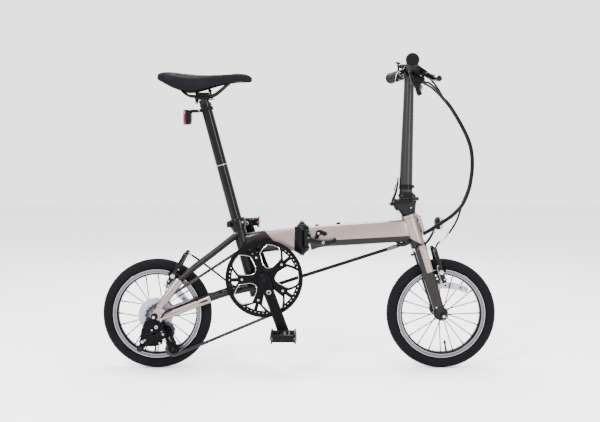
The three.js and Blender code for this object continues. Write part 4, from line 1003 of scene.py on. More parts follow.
def derailleur():
    guide, tension = GUIDE + V(0, CHAIN_Y, 0), TENSION + V(0, CHAIN_Y, 0)
    cogs = [sprocket(15, -37.9, REAR, cog_steel, 10), sprocket(COG_TEETH, CHAIN_Y, REAR, cog_steel, 10),
            sprocket(9, -47.6, REAR, cog_steel, 9.5)]
    cogs.append((lathe([(5.2, -56.5), (9, -56.5), (9, -50.5), (12, -50), (12, -36), (5.2, -36)], REAR, 40),
                 dark_steel))
    piece("sprocket_detail", "sprockets", cogs, ["cassette"])
    for name, centre in (("guide", guide), ("tension", tension)):
        parts = [sprocket(PULLEY_TEETH, CHAIN_Y, centre, plastic, 3.2, 2.4, 0.3)]
        parts.append((lathe([(3.2, CHAIN_Y - 3), (6, CHAIN_Y - 3), (6, CHAIN_Y + 3), (3.2, CHAIN_Y + 3)],
                            V(centre.x, 0, centre.z), 32), chrome))
        piece(f"{name}_pulley_detail", f"{name}_wheel", parts, [f"{name}_pulley"])
    along = (tension - guide).normalized()
    side = V(-along.z, 0, along.x)
    parts = []
    for y in (-35.5, -50.5):
        outline = []
        for p, k, r in ((guide, -1, 12), (tension, 1, 11)):
            for a in range(-80, 81, 20):
                d = along * (k * math.cos(a * RAD)) + side * (math.sin(a * RAD) * k)
                outline.append(((p + d * r).x, (p + d * r).z))
        slot = [((guide + along * s + side * w).x, (guide + along * s + side * w).z)
                for s, w in ((18, -4), (38, -4), (38, 4), (18, 4))]
        parts.append((plate(outline, y - 1, y + 1, [slot], 0.4), crank_black))
    for p in (guide, tension):
        parts += [
            (cross(p.x, p.z, -51, -34.6, 2.6, n=20), chrome),
            (bolt(V(p.x, -51.5, p.z), RIGHT, 4.4, 2), dark_steel),
        ]
    pivot = guide - along * 3 + V(-9, 0, -3)
    parts += [
        (cross(pivot.x, pivot.z, -70, -51.5, 12, n=40, chamfer=1.5), crank_black),
        (lathe([(3, -70), (10.6, -70), (10.6, -71.6), (9, -72.4), (3, -71.4)], V(pivot.x, 0, pivot.z), 40),
         crank_black),
        (bolt(V(pivot.x, -71.2, pivot.z), RIGHT, 4.4, 1.8), chrome),
    ]
    mount = V(-414, 0, 134)
    parts += [
        (cross(mount.x, mount.z, -76, -62.4, 10, n=40, chamfer=1.2), crank_black),
        (bolt(V(mount.x, -75.6, mount.z), RIGHT, 5, 2), chrome),
    ]
    body = [
        ([(-446, 150), (-432, 156), (-399, 143), (-391, 116), (-399, 99), (-424, 95), (-436, 90),
          (-450, 74), (-464, 76), (-459, 107), (-457, 124)], -71, -63.5, 1.8),
        ([(-424, 146), (-404, 146), (-402, 130), (-414, 118), (-440, 112), (-458, 104), (-464, 92),
          (-458, 82), (-446, 84), (-440, 96), (-426, 104), (-424, 122), (-432, 134)], -72, -64, 1.6),
        ([(-452, 98), (-446, 106), (-410, 112), (-392, 122), (-384, 116), (-388, 104), (-412, 92),
          (-444, 86)], -79, -73, 1.6),
        ([(-450, 96), (-440, 100), (-412, 98), (-398, 92), (-400, 84), (-420, 78), (-444, 78), (-454, 86)],
         -68, -56, 1.6),
    ]
    for outline, y0, y1, bevel in body:
        parts.append((plate(outline, y0, y1, (), bevel), crank_black))
    for x, z, r in ((-454, 92, 4.2), (-447, 97, 3), (-394, 114, 3.4), (-404, 88, 3), (-426, 126, 2.6)):
        parts.append((bolt(V(x, -78.6, z), RIGHT, r, 1.6), chrome))
    parts += [
        (tube([V(-463, -66, 74), V(-460, -68, 80), V(-452, -70, 88)], 4.6, 20, 5), crank_black),
        (cross(-461, 72, -74, -60, 10, n=36, chamfer=1.5), crank_black),
        (cross(-461, 72, -75, -74, 6, n=24), dark_steel),
    ]
    spring = [V(-430 + 4.4 * math.cos(k * 0.9) + 0.9 * k * 0.72, -75 + 4.4 * math.sin(k * 0.9) * 0.5,
                100 + 0.1 * k) for k in range(36)]
    parts += [
        (tube(spring, 0.7, 6, 2), chrome),
        (rod(V(-404, -74, 153), V(-406, -74, 140), 3.6, n=20), plastic),
    ]
    piece("derailleur_detail", "rear_frame", parts, ["rear_derailleur"])


chainset()
for side in (-1, 1):
    crank_arm(side)
    pedal(side)
chain()
derailleur()

# ------------------------------------------------------------ fork, handlepost base, reflector and brakes


def ring_on(a, b, inner, outer, n=40):
    length = (b - a).length
    return turn(a, b, [(0, inner), (0, outer - 0.5), (0.5, outer), (length - 0.5, outer),
                       (length, outer - 0.5), (length, inner)], n)


def fork():
    parts = [
        (beam([(on_steer(-13), 47.5, 16.5), (on_steer(-5), 49, 18), (on_steer(4.6), 44, 17.5)], 4.5, 56, 5,
              2), fork_paint),
        (rod(on_steer(0), on_steer(106), 13.8, n=40), dark_steel),
    ]
    for side in (-1, 1):
        blade = [(on_steer(-3, 0, side * 39.5), 9.5, 17.5), (V(389, side * 40, 253), 9.4, 17),
                 (V(412, side * 40, 176), 8.8, 15)]
        parts.append((beam(blade, 2.6, 44, 10), fork_paint))
        cap = [(0, 18), (1.6, 20.6), (13.4, 20.6), (15.8, 19), (15.8, 15.4), (14.6, 14.6), (14.6, 11)]
        parts.append((turn(V(414, side * 34, 169), V(414, side * 50, 169), cap, 56), gloss))
        pivot, up = FRONT_BRAKE + V(0, side * BRAKE_OUT, 0), FRONT_ARM
        axis = V(-up.z, 0, up.x)
        parts += [
            (rod(V(396, side * 39, 257), pivot + axis * 10, 8, 7.4), fork_paint),
            (rod(pivot + axis * 10, pivot - axis * 10, 4), chrome),
            (bolt(V(402, side * 49, 186), V(0, side, 0), 2.6, 1.4), chrome),
        ]
    parts += [
        (bolt(on_steer(-18, -25), -AHEAD, 4.6, 4), dark_steel),
        (rod(on_steer(-18, -26), on_steer(-18, -14), 3, n=20), dark_steel),
        (bolt(on_steer(-6, 0, -48.5), RIGHT, 2.4, 1.4), chrome),
    ]
    piece("fork_detail", "steered_fork", parts, ["fork"])


def base():
    foot, middle = on_steer(100.8), V(313.5, 0, 484)
    body = [(foot.x, 0, foot.z + 0.6, 23.4, 23.2, 2), (321, 0, 466, 26, 24, 2.3),
            (middle.x, 0, 483, 34, 26, 3.4), (315.5, 0, 494, 33.6, 26.6, 4), (317, 0, 502.6, 31.5, 26.4, 4)]
    parts = [
        (rising(body, 3, 64, 5, 0.8), gloss),
        (ring_on(on_steer(95.6), on_steer(100.6), 15.7, 22.6, 48), black),
        (bolt(V(331, -24.8, 477), RIGHT, 2.6, 1.4), chrome),
        (beam([(V(289, 0, 498), 22, 3.4), (V(284, 0, 484), 17, 4.6), (V(292, 0, 468), 12, 4)], 4, 40), gloss),
    ]
    hinge, along = POST_HINGE, POST_HINGE_LINE
    for low, high in ((-15, -6.6), (6.6, 15)):
        parts.append((rod(hinge + along * low, hinge + along * high, 6, n=28, chamfer=0.7), gloss))
    parts.append((rod(hinge - along * 15.4, hinge + along * 15.4, 3, n=20), dark_steel))
    for side in (-1, 1):
        parts += [
            (rod(V(274.5, side * 12.6, 487), V(274.5, side * 17, 487), 5.4, n=24), gloss),
            (beam([(V(275, side * 14.8, 487), 2.2, 4), (V(288, side * 14.8, 487), 2.2, 6)], 4, 20), gloss),
            (bolt(V(274.5, side * 16.4, 487), V(0, side, 0), 3.4, 1.6), dark_steel),
        ]
    piece("handlepost_base_detail", "steered_fork", parts, ["handlepost_base"])
    arm = [
        (cross(274.5, 487, -12, 12, 5, n=28), gloss),
        (block(V(279, 0, 498), (22, 20, 6), V(9, 0, 22)), gloss),
        (beam([(V(279, 0, 499), 8.4, 4), (V(286.5, 0, 516), 8, 3.6), (V(291.4, 0, 534), 7.4, 3),
               (V(294.2, 0, 552), 7, 2.6), (V(295, 0, 566), 6.4, 2)], 4, 36), gloss),
        (beam([(V(283, 0, 525), 4, 1.4), (V(288.4, 0, 546), 3.6, 1.2)], 4, 20), plastic),
    ]
    piece("handlepost_latch_detail", "post_latch", arm, ["handlepost_latch_lever"])


def facing(levels, power):
    """A loft through ovals that face along X, from levels (x, z, half width, half height)."""
    return loft([oval(V(x, 0, z), LEFT, UP, w, h, power, 40) for x, z, w, h in levels])


def lens_ribs(x, half, middle, gap, count, thick, material):
    """Level ribs across a reflector's lens, count of them above and below its middle."""
    ribs = []
    for j in range(-count, count + 1):
        z = middle + gap * j
        ribs.append((beam([(V(x, -half, z), thick, 0.6), (V(x, half, z), thick, 0.6)], 3, 12, 2, 0.4),
                     material))
    return ribs


def front_reflector():
    strap = [(on_steer(-14, 19), 8, 2), (on_steer(0, 20.5), 8, 2.6), (V(382, 0, 374), 8, 3.2),
             (V(392, 0, 388), 7, 3.2), (V(400, 0, 404), 6, 3), (V(404, 0, 416), 6, 2.6)]
    parts = [
        (beam(strap, 4, 28), plastic),
        (block(on_steer(-4, 20), (26, 20, 6), STEER), plastic),
        (rod(V(401, -10, 404), V(401, 10, 404), 4, n=24), plastic),
    ]
    for side in (-1, 1):
        parts.append((bolt(V(401, side * 9, 404), V(0, side, 0), 3.8, 2.4), chrome))
    parts.append((bolt(on_steer(-4, 22), AHEAD, 4, 2), dark_steel))
    shell = [(405, 15, 13), (408, 20, 17.5), (413, 21.6, 19), (420, 22, 19.4), (421.5, 21, 18.6)]
    parts.append((facing([(x, 429 + 0.1 * (x - 408), w, h) for x, w, h in shell], 3.4), plastic))
    middle = 430.5
    lens = [(417, 21.8, 19.4), (419, 22.4, 20), (425, 22.3, 19.8), (427, 20.5, 18)]
    parts.append((facing([(x, middle, w, h) for x, w, h in lens], 3.4), clear_lens))
    parts += lens_ribs(427, 16, middle, 6, 2, 2.2, clear_lens)
    piece("front_reflector_detail", "steered_fork", parts, ["front_reflector"])


def brake_arm(node, body, pivot, up, axis, side, pad, tip_out):
    """One arm of a rim brake. axis points along its pivot, towards the frame."""
    def at(s, y, out=0.0):
        return V(pivot.x, side * y, pivot.z) + up * s - axis * out

    parts = [
        (rod(at(0, BRAKE_OUT, -4.5), at(0, BRAKE_OUT, 7.5), 8, n=36, chamfer=1), black),
        (rod(at(0, BRAKE_OUT, -4.4), at(0, BRAKE_OUT, -1.5), 9, n=36), plastic),
        (bolt(at(0, BRAKE_OUT, 7.4), -axis, 5.2, 3), chrome),
    ]
    arm = [(at(-2, 38, 1), 5, 6.6), (at(18, 40.5, 1), 4.6, 7), (at(40, 41.5, 1), 4.8, 6.2),
           (at(68, 41, 1), 4.2, 5.4), (at(97, 40, 1), 4, 5)]
    parts.append((beam(arm, 3.2, 32, 7, 1.4), gloss))
    for s in (46, 58, 70):
        parts.append((beam([(at(s, 45.2, 1), 0.8, 2.6), (at(s + 7, 45, 1), 0.8, 2.4)], 4, 16, 2, 0.4), black))
    parts += [
        (rod(at(pad, 22), at(pad, 49), 3.2, n=20), chrome),
        (hex_nut(at(pad, 47.2), V(0, side, 0), 5.6, 4.6), chrome),
    ]
    for y0, y1, r in ((24.5, 27, 6.6), (27.4, 30, 7.2), (30.4, 33, 6.2), (45.2, 47.2, 6.8)):
        parts.append((rod(at(pad, y0), at(pad, y1), r, n=28), black if y0 < 40 else chrome))
    shoe = [(at(pad, 19) - axis * k + up * (-0.012 * k * k), 3.9, 4.7) for k in (-17, -9, 0, 9, 17)]
    parts += [
        (beam(shoe, 5, 28, 4, 1.2), rubber),
        (block(at(pad, 23.4), (22, 2.6, 8), axis), black),
    ]
    spring = [at(-1, 33, -6), at(12, 35, -7), at(30, 36.5, -7.4), at(44, 38.6, -7.2), at(46, 42, -6.6)]
    parts += [
        (tube(spring, 0.9, 8, 6), chrome),
        (bolt(at(46, 44, -5), V(0, side, 0), 2.2, 2), chrome),
        (rod(at(3, 45, 3), at(3, 49, 3), 2.4, n=16), chrome),
    ]
    if tip_out:
        parts += [
            (bolt(at(90, 40, 5.5), -axis, 4.6, 3.4), chrome),
            (rod(at(90, 40, 5), at(90, 40, 7), 6, n=24), dark_steel),
        ]
    else:
        parts += [
            (beam([(at(92, 33), 4, 4), (at(96, 42), 4, 4.6), (at(93, 46), 3, 3.6)], 3, 24), gloss),
            (bolt(at(95, 45), V(0, side, 0), 2.6, 1.6), chrome),
        ]
    piece(node + "_detail", body, parts, [node])


def brake(end, bodies, pivot, up, axis, pad, cable_end, lean):
    """A rim brake: its arms, the noodle and bellows on the right arm and the bare wire on the left one."""
    left, right = bodies
    brake_arm(f"{end}_brake_arm_left", left, pivot, up, axis, 1, pad, True)
    brake_arm(f"{end}_brake_arm_right", right, pivot, up, axis, -1, pad, False)
    top = pivot + up * 94
    bend = [*cable_end, top + V(0, -41, 3), top + V(0, -34, 1), top + V(0, -24, 0), top + V(0, -18, 0)]
    noodle = [(tube(bend, 2.8, 16, 8), gloss)] + bellows(top + V(0, -19, 0), top + V(0, 4, 0))
    piece(f"{end}_brake_noodle", right, noodle)
    line = [top + V(0, -2, 0), top + V(0, 30, 0), top + V(5 * lean, 40, -3), top + V(7 * lean, 50, -6)]
    piece(f"{end}_brake_wire", left, [(tube(line, 0.7, 8, 6), chrome)])


def brakes():
    axis = V(-FRONT_ARM.z, 0, FRONT_ARM.x)
    cable_end = [V(414, -30, 377), V(406, -37, 370)]
    brake("front", ("brake_fl", "brake_fr"), FRONT_BRAKE, FRONT_ARM, axis, 25, cable_end, 1)
    axis = V(REAR_ARM.z, 0, -REAR_ARM.x)
    cable_end = [V(-322, -32, 341), V(-330, -38, 345)]
    brake("rear", ("brake_rl", "brake_rr"), REAR_BRAKE, REAR_ARM, axis, 21, cable_end, -1)


def bellows(a, b):
    """The ribbed rubber sleeve round a brake's bare wire."""
    profile, length = [(0, 2)], (b - a).length
    for k in range(7):
        profile += [(0.6 + k * (length - 1) / 7, 3.1), (0.6 + (k + 0.5) * (length - 1) / 7, 4.4)]
    return [(turn(a, b, profile + [(length, 3.1), (length, 2.4), (1, 2.4)], 20, 0, True), plastic)]


fork()
base()
front_reflector()
brakes()

# ------------------------------------------------------------ handlepost and cockpit

LEVER_OUT, LEVER_UP = V(0.866, 0, -0.5), V(0.5, 0, 0.866)


def bar_at(y):
    """The handlebar's middle line, which sweeps back outside its straight middle."""
    return V(328.5, y, 884) + V(-25.5, 0, 3) * (max(0, abs(y) - 62) / 206)


def lever_point(side, y, ahead):
    return bar_at(side * y) + LEVER_OUT * ahead


def handlepost():
    parts = [
        (rising([(322, 0, 503.8, 25.4, 25.4, 4), (322, 0, 512, 25.4, 24.8, 4), (320, 0, 519, 22.4, 22, 2.6),
                 (318.6, 0, 523, 20.6, 20.6, 2)], 3, 64, 5, 0.8), gloss),
        (rising([(318.4, 0, 520, 19.8, 19.8, 2), (319.4, 0, 576, 19.3, 19.3, 2),
                 (327, 0, 815, 15.3, 15.3, 2), (328.2, 0, 870, 15.3, 15.3, 2)], 2, 64, 6), post_black),
        (rising([(318.7, 0, 531.6, 21.2, 21.2, 2), (319, 0, 545, 21, 21, 2)], 2, 64, 2, 0.8), black),
        (bolt(V(339, 0, 539), V(1, 0, 0), 4.2, 5), dark_steel),
    ]
    hinge, along = POST_HINGE, POST_HINGE_LINE
    parts += [
        (rod(hinge - along * 6, hinge + along * 6, 6, n=28, chamfer=0.7), gloss),
        (beam([(V(297, 0, 516), 10, 3), (V(300, 0, 508), 12, 4)], 4, 28), gloss),
        (turn(V(328.5, -25, 884), V(328.5, 25, 884),
              [(0, 11.2), (0, 18), (1, 19), (11, 19), (11.4, 18.4), (38.6, 18.4), (39, 19), (49, 19),
               (50, 18), (50, 11.2)], 56), gloss),
        (rising([(328, 0, 860, 15.4, 15.6, 2), (328.4, 0, 872, 18, 20, 2.6), (328.5, 0, 882, 18.6, 22, 3)],
                2, 48, 5), gloss),
        (beam([(V(315, 0, 884), 10, 8), (V(302, 0, 878), 9.6, 7), (V(294.6, 0, 868), 8.6, 5.6),
               (V(290, 0, 851), 7, 4)], 4, 40), gloss),
        (rod(V(300, -13, 874), V(300, 13, 874), 5, n=28), black),
    ]
    for side in (-1, 1):
        parts += [
            (bolt(V(300, side * 12, 874), V(0, side, 0), 4, 2), chrome),
            (bolt(V(346, side * 17, 890), V(1, 0, 0.3), 3, 2.4), chrome),
            (bolt(V(346, side * 17, 878), V(1, 0, -0.3), 3, 2.4), chrome),
            (block(V(345, side * 17, 884), (24, 11, 5), V(0, 0, 1)), gloss),
        ]
    piece("handlepost_detail", "post", parts, ["handlepost"])


def grip(side):
    a, b = bar_at(side * 141), bar_at(side * 270.6)
    profile = [(0, 11.4), (0, 16.6), (0.8, 17.2), (5, 17.2), (5.8, 16.2), (7.5, 15.6)]
    for k in range(21):
        s = 9 + 5.3 * k
        r = 15.7 + 0.7 * math.sin(math.pi * k / 20)
        profile += [(s, r), (s + 0.8, r + 0.7), (s + 3.2, r + 0.7), (s + 4, r)]
    profile += [(121.6, 16.4), (123.5, 17.8), (128, 18.4), (131, 17.4), (132.2, 14.5), (132.2, 9)]
    parts = [
        (turn(a, b, profile, 48), grip_rubber),
        (ring_on(bar_at(side * 135.8), bar_at(side * 141.4), 11.3, 16.6), grip_rubber),
    ]
    out = (b - a).normalized()
    parts.append((rod(b + out * 1.4, b + out * 3.4, 9.4, n=32, chamfer=0.8), plastic))
    name = "left" if side > 0 else "right"
    piece(f"grip_{name}_detail", "post", parts, [f"grip_{name}"])


def brake_lever(side):
    name = "left" if side > 0 else "right"
    parts = [(ring_on(bar_at(side * 120.5), bar_at(side * 135.5), 11.3, 15.6), black)]
    clamp = bar_at(side * 128) - LEVER_OUT * 14
    parts += [
        (rod(clamp - LEVER_UP * 6, clamp + LEVER_UP * 6, 4.4, n=20), black),
        (bolt(clamp - LEVER_UP * 5, -LEVER_UP, 3.4, 1.6), chrome),
    ]
    for k in (-1, 1):
        shell = [(lever_point(side, 129, 10), 8, 3.2), (lever_point(side, 122, 25), 9.4, 2.6),
                 (lever_point(side, 118.6, 38), 8.6, 2.2), (lever_point(side, 118, 45), 6, 1.8)]
        parts.append((beam([(p + LEVER_UP * (7.8 * k), w, h) for p, w, h in shell], 3, 28), black))
    parts.append((beam([(lever_point(side, 129, 8), 8, 9), (lever_point(side, 124, 20), 9, 9),
                        (lever_point(side, 122, 24), 8, 8.6)], 3, 32), black))
    pivot = lever_point(side, 119, 34)
    parts.append((rod(pivot - LEVER_UP * 10.6, pivot + LEVER_UP * 10.6, 2.4, n=20), chrome))
    for k in (-1, 1):
        parts.append((bolt(pivot + LEVER_UP * (9.6 * k), LEVER_UP * k, 4, 1.8), chrome))
    barrel = [lever_point(side, 112, 27), lever_point(side, 97, 35)]
    parts.append((rod(barrel[0], barrel[1], 5.6, 5, n=28), black))
    aim = (barrel[1] - barrel[0]).normalized()
    for k in range(4):
        parts.append((rod(barrel[1] + aim * (0.4 + 2.2 * k), barrel[1] + aim * (1.9 + 2.2 * k), 5.8, n=16),
                      dark_steel))
    parts.append((rod(barrel[1], barrel[1] + aim * 17, 3.5, n=20), chrome))
    piece(f"brake_bracket_{name}_detail", "post", parts, [f"brake_bracket_{name}"])
    blade = [(121, 34, 5.4, 6), (123, 46, 6.4, 7.6), (134, 63, 7.4, 8.2), (158, 77, 7.6, 8.2),
             (188, 84, 7.4, 8), (206, 86, 7, 7.6)]
    lever = [
        (beam([(lever_point(side, y, s), w, h) for y, s, w, h in blade], 3, 36, 8, 2), gloss),
        (rod(pivot - LEVER_UP * 4.8, pivot + LEVER_UP * 4.8, 6.4, n=32), gloss),
        (bolt(lever_point(side, 127, 55) + LEVER_UP * 4.4, LEVER_UP, 2, 1), chrome),
    ]
    piece(f"brake_lever_{name}_detail", f"lever_{name}", lever, [f"brake_lever_{name}"])


def shifter():
    levels = [(331, -95, 877, 12, 6, 3), (333, -96.5, 868, 17, 11.4, 3.2), (337, -97, 856, 19.5, 15.6, 3.2),
              (339, -97, 846, 19.6, 16, 3), (338.4, -97, 839, 16, 15.4, 3)]
    parts = [
        (rising(levels, 3, 52, 6, 2.4), plastic),
        (ring_on(bar_at(-86.5), bar_at(-101.5), 11.3, 15.2), black),
        (beam([(V(350, -97, 861), 10, 3), (V(357, -97, 850), 9, 4), (V(352, -97, 838), 8, 4)], 3, 28), gloss),
    ]
    for y in (-107.5, -86.5):
        parts.append((beam([(V(338, y, 846), 2.6, 9), (V(338, y, 834), 2.6, 8), (V(338, y, 825), 2.4, 5)],
                           2.6, 24), plastic))
    parts += [
        (cross(338, 831, -111, -83.6, 3, n=20), dark_steel),
        (bolt(V(338, -110, 831), RIGHT, 3.6, 2), dark_steel),
        (rod(V(350, -97, 842), V(363, -95, 841), 4.4, 3.6, n=24), black),
    ]
    for k in range(3):
        parts.append((rod(V(354 + 2.6 * k, -96.6, 841.8), V(355.8 + 2.6 * k, -96.4, 841.7), 5, n=14),
                      dark_steel))
    parts.append((bolt(V(330, -105, 868), V(0, -1, 0.2), 3, 1.4), chrome))
    piece("shifter_detail", "post", parts, ["shifter_body"])
    thumb = [(beam([(V(338, -97, 831), 8.2, 6.4), (V(340.6, -96.5, 820), 8, 6.6),
                    (V(345, -94.6, 811), 8.6, 6.8), (V(349, -93.4, 806), 8.4, 5.6)], 3, 32), plastic)]
    for k in range(4):
        spot = V(340.5 + 1.7 * k, 0, 806.4 - 1.7 * k + 3.6)
        thumb.append((rod(spot + V(-3.2, -100, -2), spot + V(-3.2, -88, -2), 0.8, n=8), plastic))
    piece("thumb_lever_detail", "shift_thumb", thumb, ["thumb_lever"])


def cockpit():
    handlepost()
    ends = [bar_at(y) for y in (-268, -220, -164, -110, -62, -30, 0, 30, 62, 110, 164, 220, 268)]
    marks = [(turn(bar_at(y), bar_at(y + 1.4), [(0, 11.25), (1.4, 11.25)], 32), silver) for y in (-34, 32.6)]
    piece("handlebar_detail", "post", [(tube(ends, 11.1, 32, 4), gloss), *marks], ["handlebar"])
    for side in (-1, 1):
        grip(side)
        brake_lever(side)
    shifter()
    spot = bar_at(84) + V(-6, 0, 1)
    bell = [
        (ring_on(bar_at(79), bar_at(89), 11.3, 14.2), black),
        (turn(spot + V(0, 0, 12), spot + V(0, 0, 32),
              [(0, 5), (3, 5), (4, 13), (7, 15), (11, 14), (14.5, 10), (16.4, 4), (16.6, 0.4)], 40), gloss),
    ]
    stalk = [spot + V(-5, 0, 5), spot + V(-13, 0, 10), spot + V(-14.5, 0, 20), spot + V(-15, 0, 30)]
    bell += [
        (tube(stalk, 2.9, 16, 5), black),
        (beam([(spot + V(-23, 0, 33), 6, 2), (spot + V(-17, 0, 31.6), 6.6, 3),
               (spot + V(-8, 0, 30.4), 6, 2.4)], 3, 28), plastic),
    ]
    piece("bell", "post", bell)


cockpit()

# ------------------------------------------------------------ cables


LOOP_MIDDLE = V(350, 0, 620)
BUNDLE_RADIUS = 3.3
LOOP_CUT = 572


def bundled(p, angle):
    """A cable's place beside the middle of the bundle at p, at its own angle round it."""
    out = V(p.x - LOOP_MIDDLE.x, 0, p.z - LOOP_MIDDLE.z).normalized()
    return p + V(0, BUNDLE_RADIUS * math.cos(angle), 0) + out * (BUNDLE_RADIUS * math.sin(angle))


def cable_sides(own, angle, shared):
    """A cable that joins the bundle, as two tubes which meet at the height LOOP_CUT."""
    path = smooth_path(list(own) + [bundled(p, angle) for p in shared], 9)
    cut = next(i for i, p in enumerate(path) if p.z < LOOP_CUT)
    return tube(path[: cut + 1], 3.2, 14, 1, False), tube(path[cut:], 3.2, 14, 1, False)


def loops():
    shared = [V(440, -10, 788), V(457, -9, 765), V(483, -8, 721), V(504, -8, 676), V(513, -8, 640),
              V(515, -8, 600), V(511, -9, 562), V(503, -12, 528), V(486, -17, 490)]
    port = [V(466, -23, 467), V(443, -27, 448), V(412, -27, 428), V(393, -17, 414), V(370, -9, 399)]
    last = [V(478, -8, 463), V(465, -14, 433), V(442, -22, 399)]
    near = [lever_point(-1, 82, 43), V(378, -74, 855), V(402, -50, 833), V(425, -24, 804)]
    shift = [V(361, -95, 841.2), V(374, -90, 840), V(396, -66, 826), V(421, -34, 800)]
    far = [lever_point(1, 82, 43), V(378, 74, 855), V(400, 50, 840), V(424, 14, 810)]
    far_angle = 5.6
    upper, lower = [], []
    for own, angle, tail in ((near, 1.2, port), (shift, 3.9, port), (far, far_angle, None)):
        top, bottom = cable_sides(own, angle, shared + (tail or []))
        upper.append((top, cable_skin))
        if tail:
            lower.append((bottom, cable_skin))
        else:
            brake_side = bottom
    made = piece("cable_loops_upper", None, upper, ["control_cables_upper"])
    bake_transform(made)
    made = piece("cable_loops_lower", None, lower, ["control_cables_lower"])
    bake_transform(made)
    start = bundled(shared[-1], far_angle)
    parts = [(brake_side, cable_skin), (tube([start, *last], 3.0, 14, 9), cable_skin)]
    parts += [
        (turn(V(443, -22, 400.5), V(427, -27, 383),
              [(0, 2.4), (0.5, 3.3), (9, 3.3), (9.4, 2.8), (15, 2.8), (22, 2), (23, 1)], 20), chrome),
        (tube([V(428, -26.6, 384), V(420, -28.4, 380), V(413, -31, 376)], 0.9, 8, 4), chrome),
    ]
    piece("front_brake_cable_detail", "steered_fork", parts, ["front_brake_cable"])


def frame_cables():
    tie = [V(300, 0, 363.8), V(200, 0, 332), V(104, 0, 301.5), V(8, 0, 271), V(-92, 0, 238.5)]
    parts = [
        (tube([a.lerp(b, k / 6) for a, b in zip(tie, tie[1:]) for k in range(6)] + [tie[-1]], 5.3, 16, 1,
              False), cable_skin),
        (turn(V(292, 0, 361.2), V(262, 0, 351.8), [(0, 4.6), (0.6, 6.2), (22, 6.2), (25, 5.8), (31, 5.5)],
              24), cog_steel),
        (turn(V(-62, 0, 248.2), V(-92, 0, 238.5), [(0, 5.4), (1, 6.2), (30, 6.2)], 24), cog_steel),
    ]
    made = piece("tie_cable_detail", None, parts, ["tie_cable"])
    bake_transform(made)
    rear = [V(-322, -32, 341), V(-312, -27, 334), V(-292, -16, 318), V(-250, 0, 283), V(-200, 0, 245),
            V(-160, 0, 228)]
    parts = [
        (tube(rear, 3.0, 14, 8), cable_skin),
        (rod(V(-326, -34.5, 343.4), V(-317, -29.6, 338), 3.3, n=20), chrome),
    ]
    piece("rear_brake_cable_detail", "rear_frame", parts, ["rear_brake_cable"])
    shift = [V(-160, -24, 250.5), V(-217, -31, 237.4), V(-288, -38.5, 213.5), V(-345, -50, 192.5),
             V(-380, -66, 181), V(-396, -72.5, 168), V(-403, -73.6, 153)]
    parts = [
        (tube(shift, 2.8, 14, 8), cable_skin),
        (rod(V(-400, -73.2, 160), V(-403.4, -73.8, 150), 3.4, n=20), chrome),
    ]
    for k in (1, 2, 3):
        p = shift[k]
        ahead = (shift[k + 1] - shift[k - 1]).normalized()
        parts.append((rod(p - ahead * 3, p + ahead * 3, 3.6, n=20), plastic))
    piece("shift_cable_detail", "rear_frame", parts, ["shift_cable"])


loops()
frame_cables()

# ------------------------------------------------------------ seat


def saddle_height(top, skirt, t):
    """The height of the saddle's skin at the angle t across it."""
    edge = skirt + 0.34 * (top - skirt)
    return edge + (top - edge) * abs(math.sin(t)) ** 0.62


def saddle():
    stations = [(-419, 24, 864, 858, 862), (-416, 44, 872, 855, 861), (-408, 57, 877, 849.5, 861),
                (-385, 69, 880, 838, 861), (-345, 66, 876, 823.5, 858), (-322, 57, 873.6, 821.5, 857),
                (-302, 46, 872, 824, 856), (-280, 36, 871.6, 829, 856), (-262, 30, 872, 834, 856),
                (-230, 23, 873.4, 842, 857), (-190, 19.5, 875.6, 849, 858), (-165, 17.6, 874.8, 850, 857),
                (-150, 14.4, 870.4, 850.6, 856.6), (-141, 8.6, 864, 852.5, 857)]
    rows = smooth_path([Vector(row) for row in stations], 6)
    across = 32
    rings = []
    for x, w, top, skirt, under in rows:
        ring = []
        for i in range(across + 1):
            t = math.pi * i / across
            y = w * math.cos(t)
            dip = 2.2 * math.exp(-((y / 7) ** 2)) * (1 if -400 < x < -200 else 0.0)
            ring.append(V(x, y, saddle_height(top, skirt, t) - dip))
        low = min(skirt + 3, under)
        for y, z in ((-w * 0.97, skirt + 2), (-w * 0.92, skirt), (-w * 0.86, low), (-w * 0.7, under),
                     (0, under), (w * 0.7, under), (w * 0.86, low), (w * 0.92, skirt),
                     (w * 0.97, skirt + 2)):
            ring.append(V(x, y, z))
        rings.append(ring)
    made = piece("saddle_detail", "seat", [(loft(rings), leather)], ["saddle"], 60)
    seam_angle = 0.62
    trim = []
    for side in (-1, 1):
        seam = []
        for x, w, top, skirt, _ in rows[3:-2:3]:
            y = w * math.cos(seam_angle) + 0.2
            seam.append(V(x, side * y, saddle_height(top, skirt, seam_angle) + 0.15))
        trim.append((tube(seam, 0.65, 8, 3), gloss))
    for side in (-1, 1):
        trim.append((block(V(-343, side * 30, 845), (18, 16, 26)), plastic))
    trim.append((block(V(-206, 0, 852), (24, 18, 12)), plastic))
    shell = [V(-395, 0, 857), V(-340, 0, 853), V(-280, 0, 852), V(-230, 0, 853), V(-165, 0, 853)]
    trim.append((beam([(p, w, 2.4) for p, w in zip(shell, (44, 46, 24, 14, 10))], 4, 32), plastic))
    piece("saddle_trim", "seat", trim)


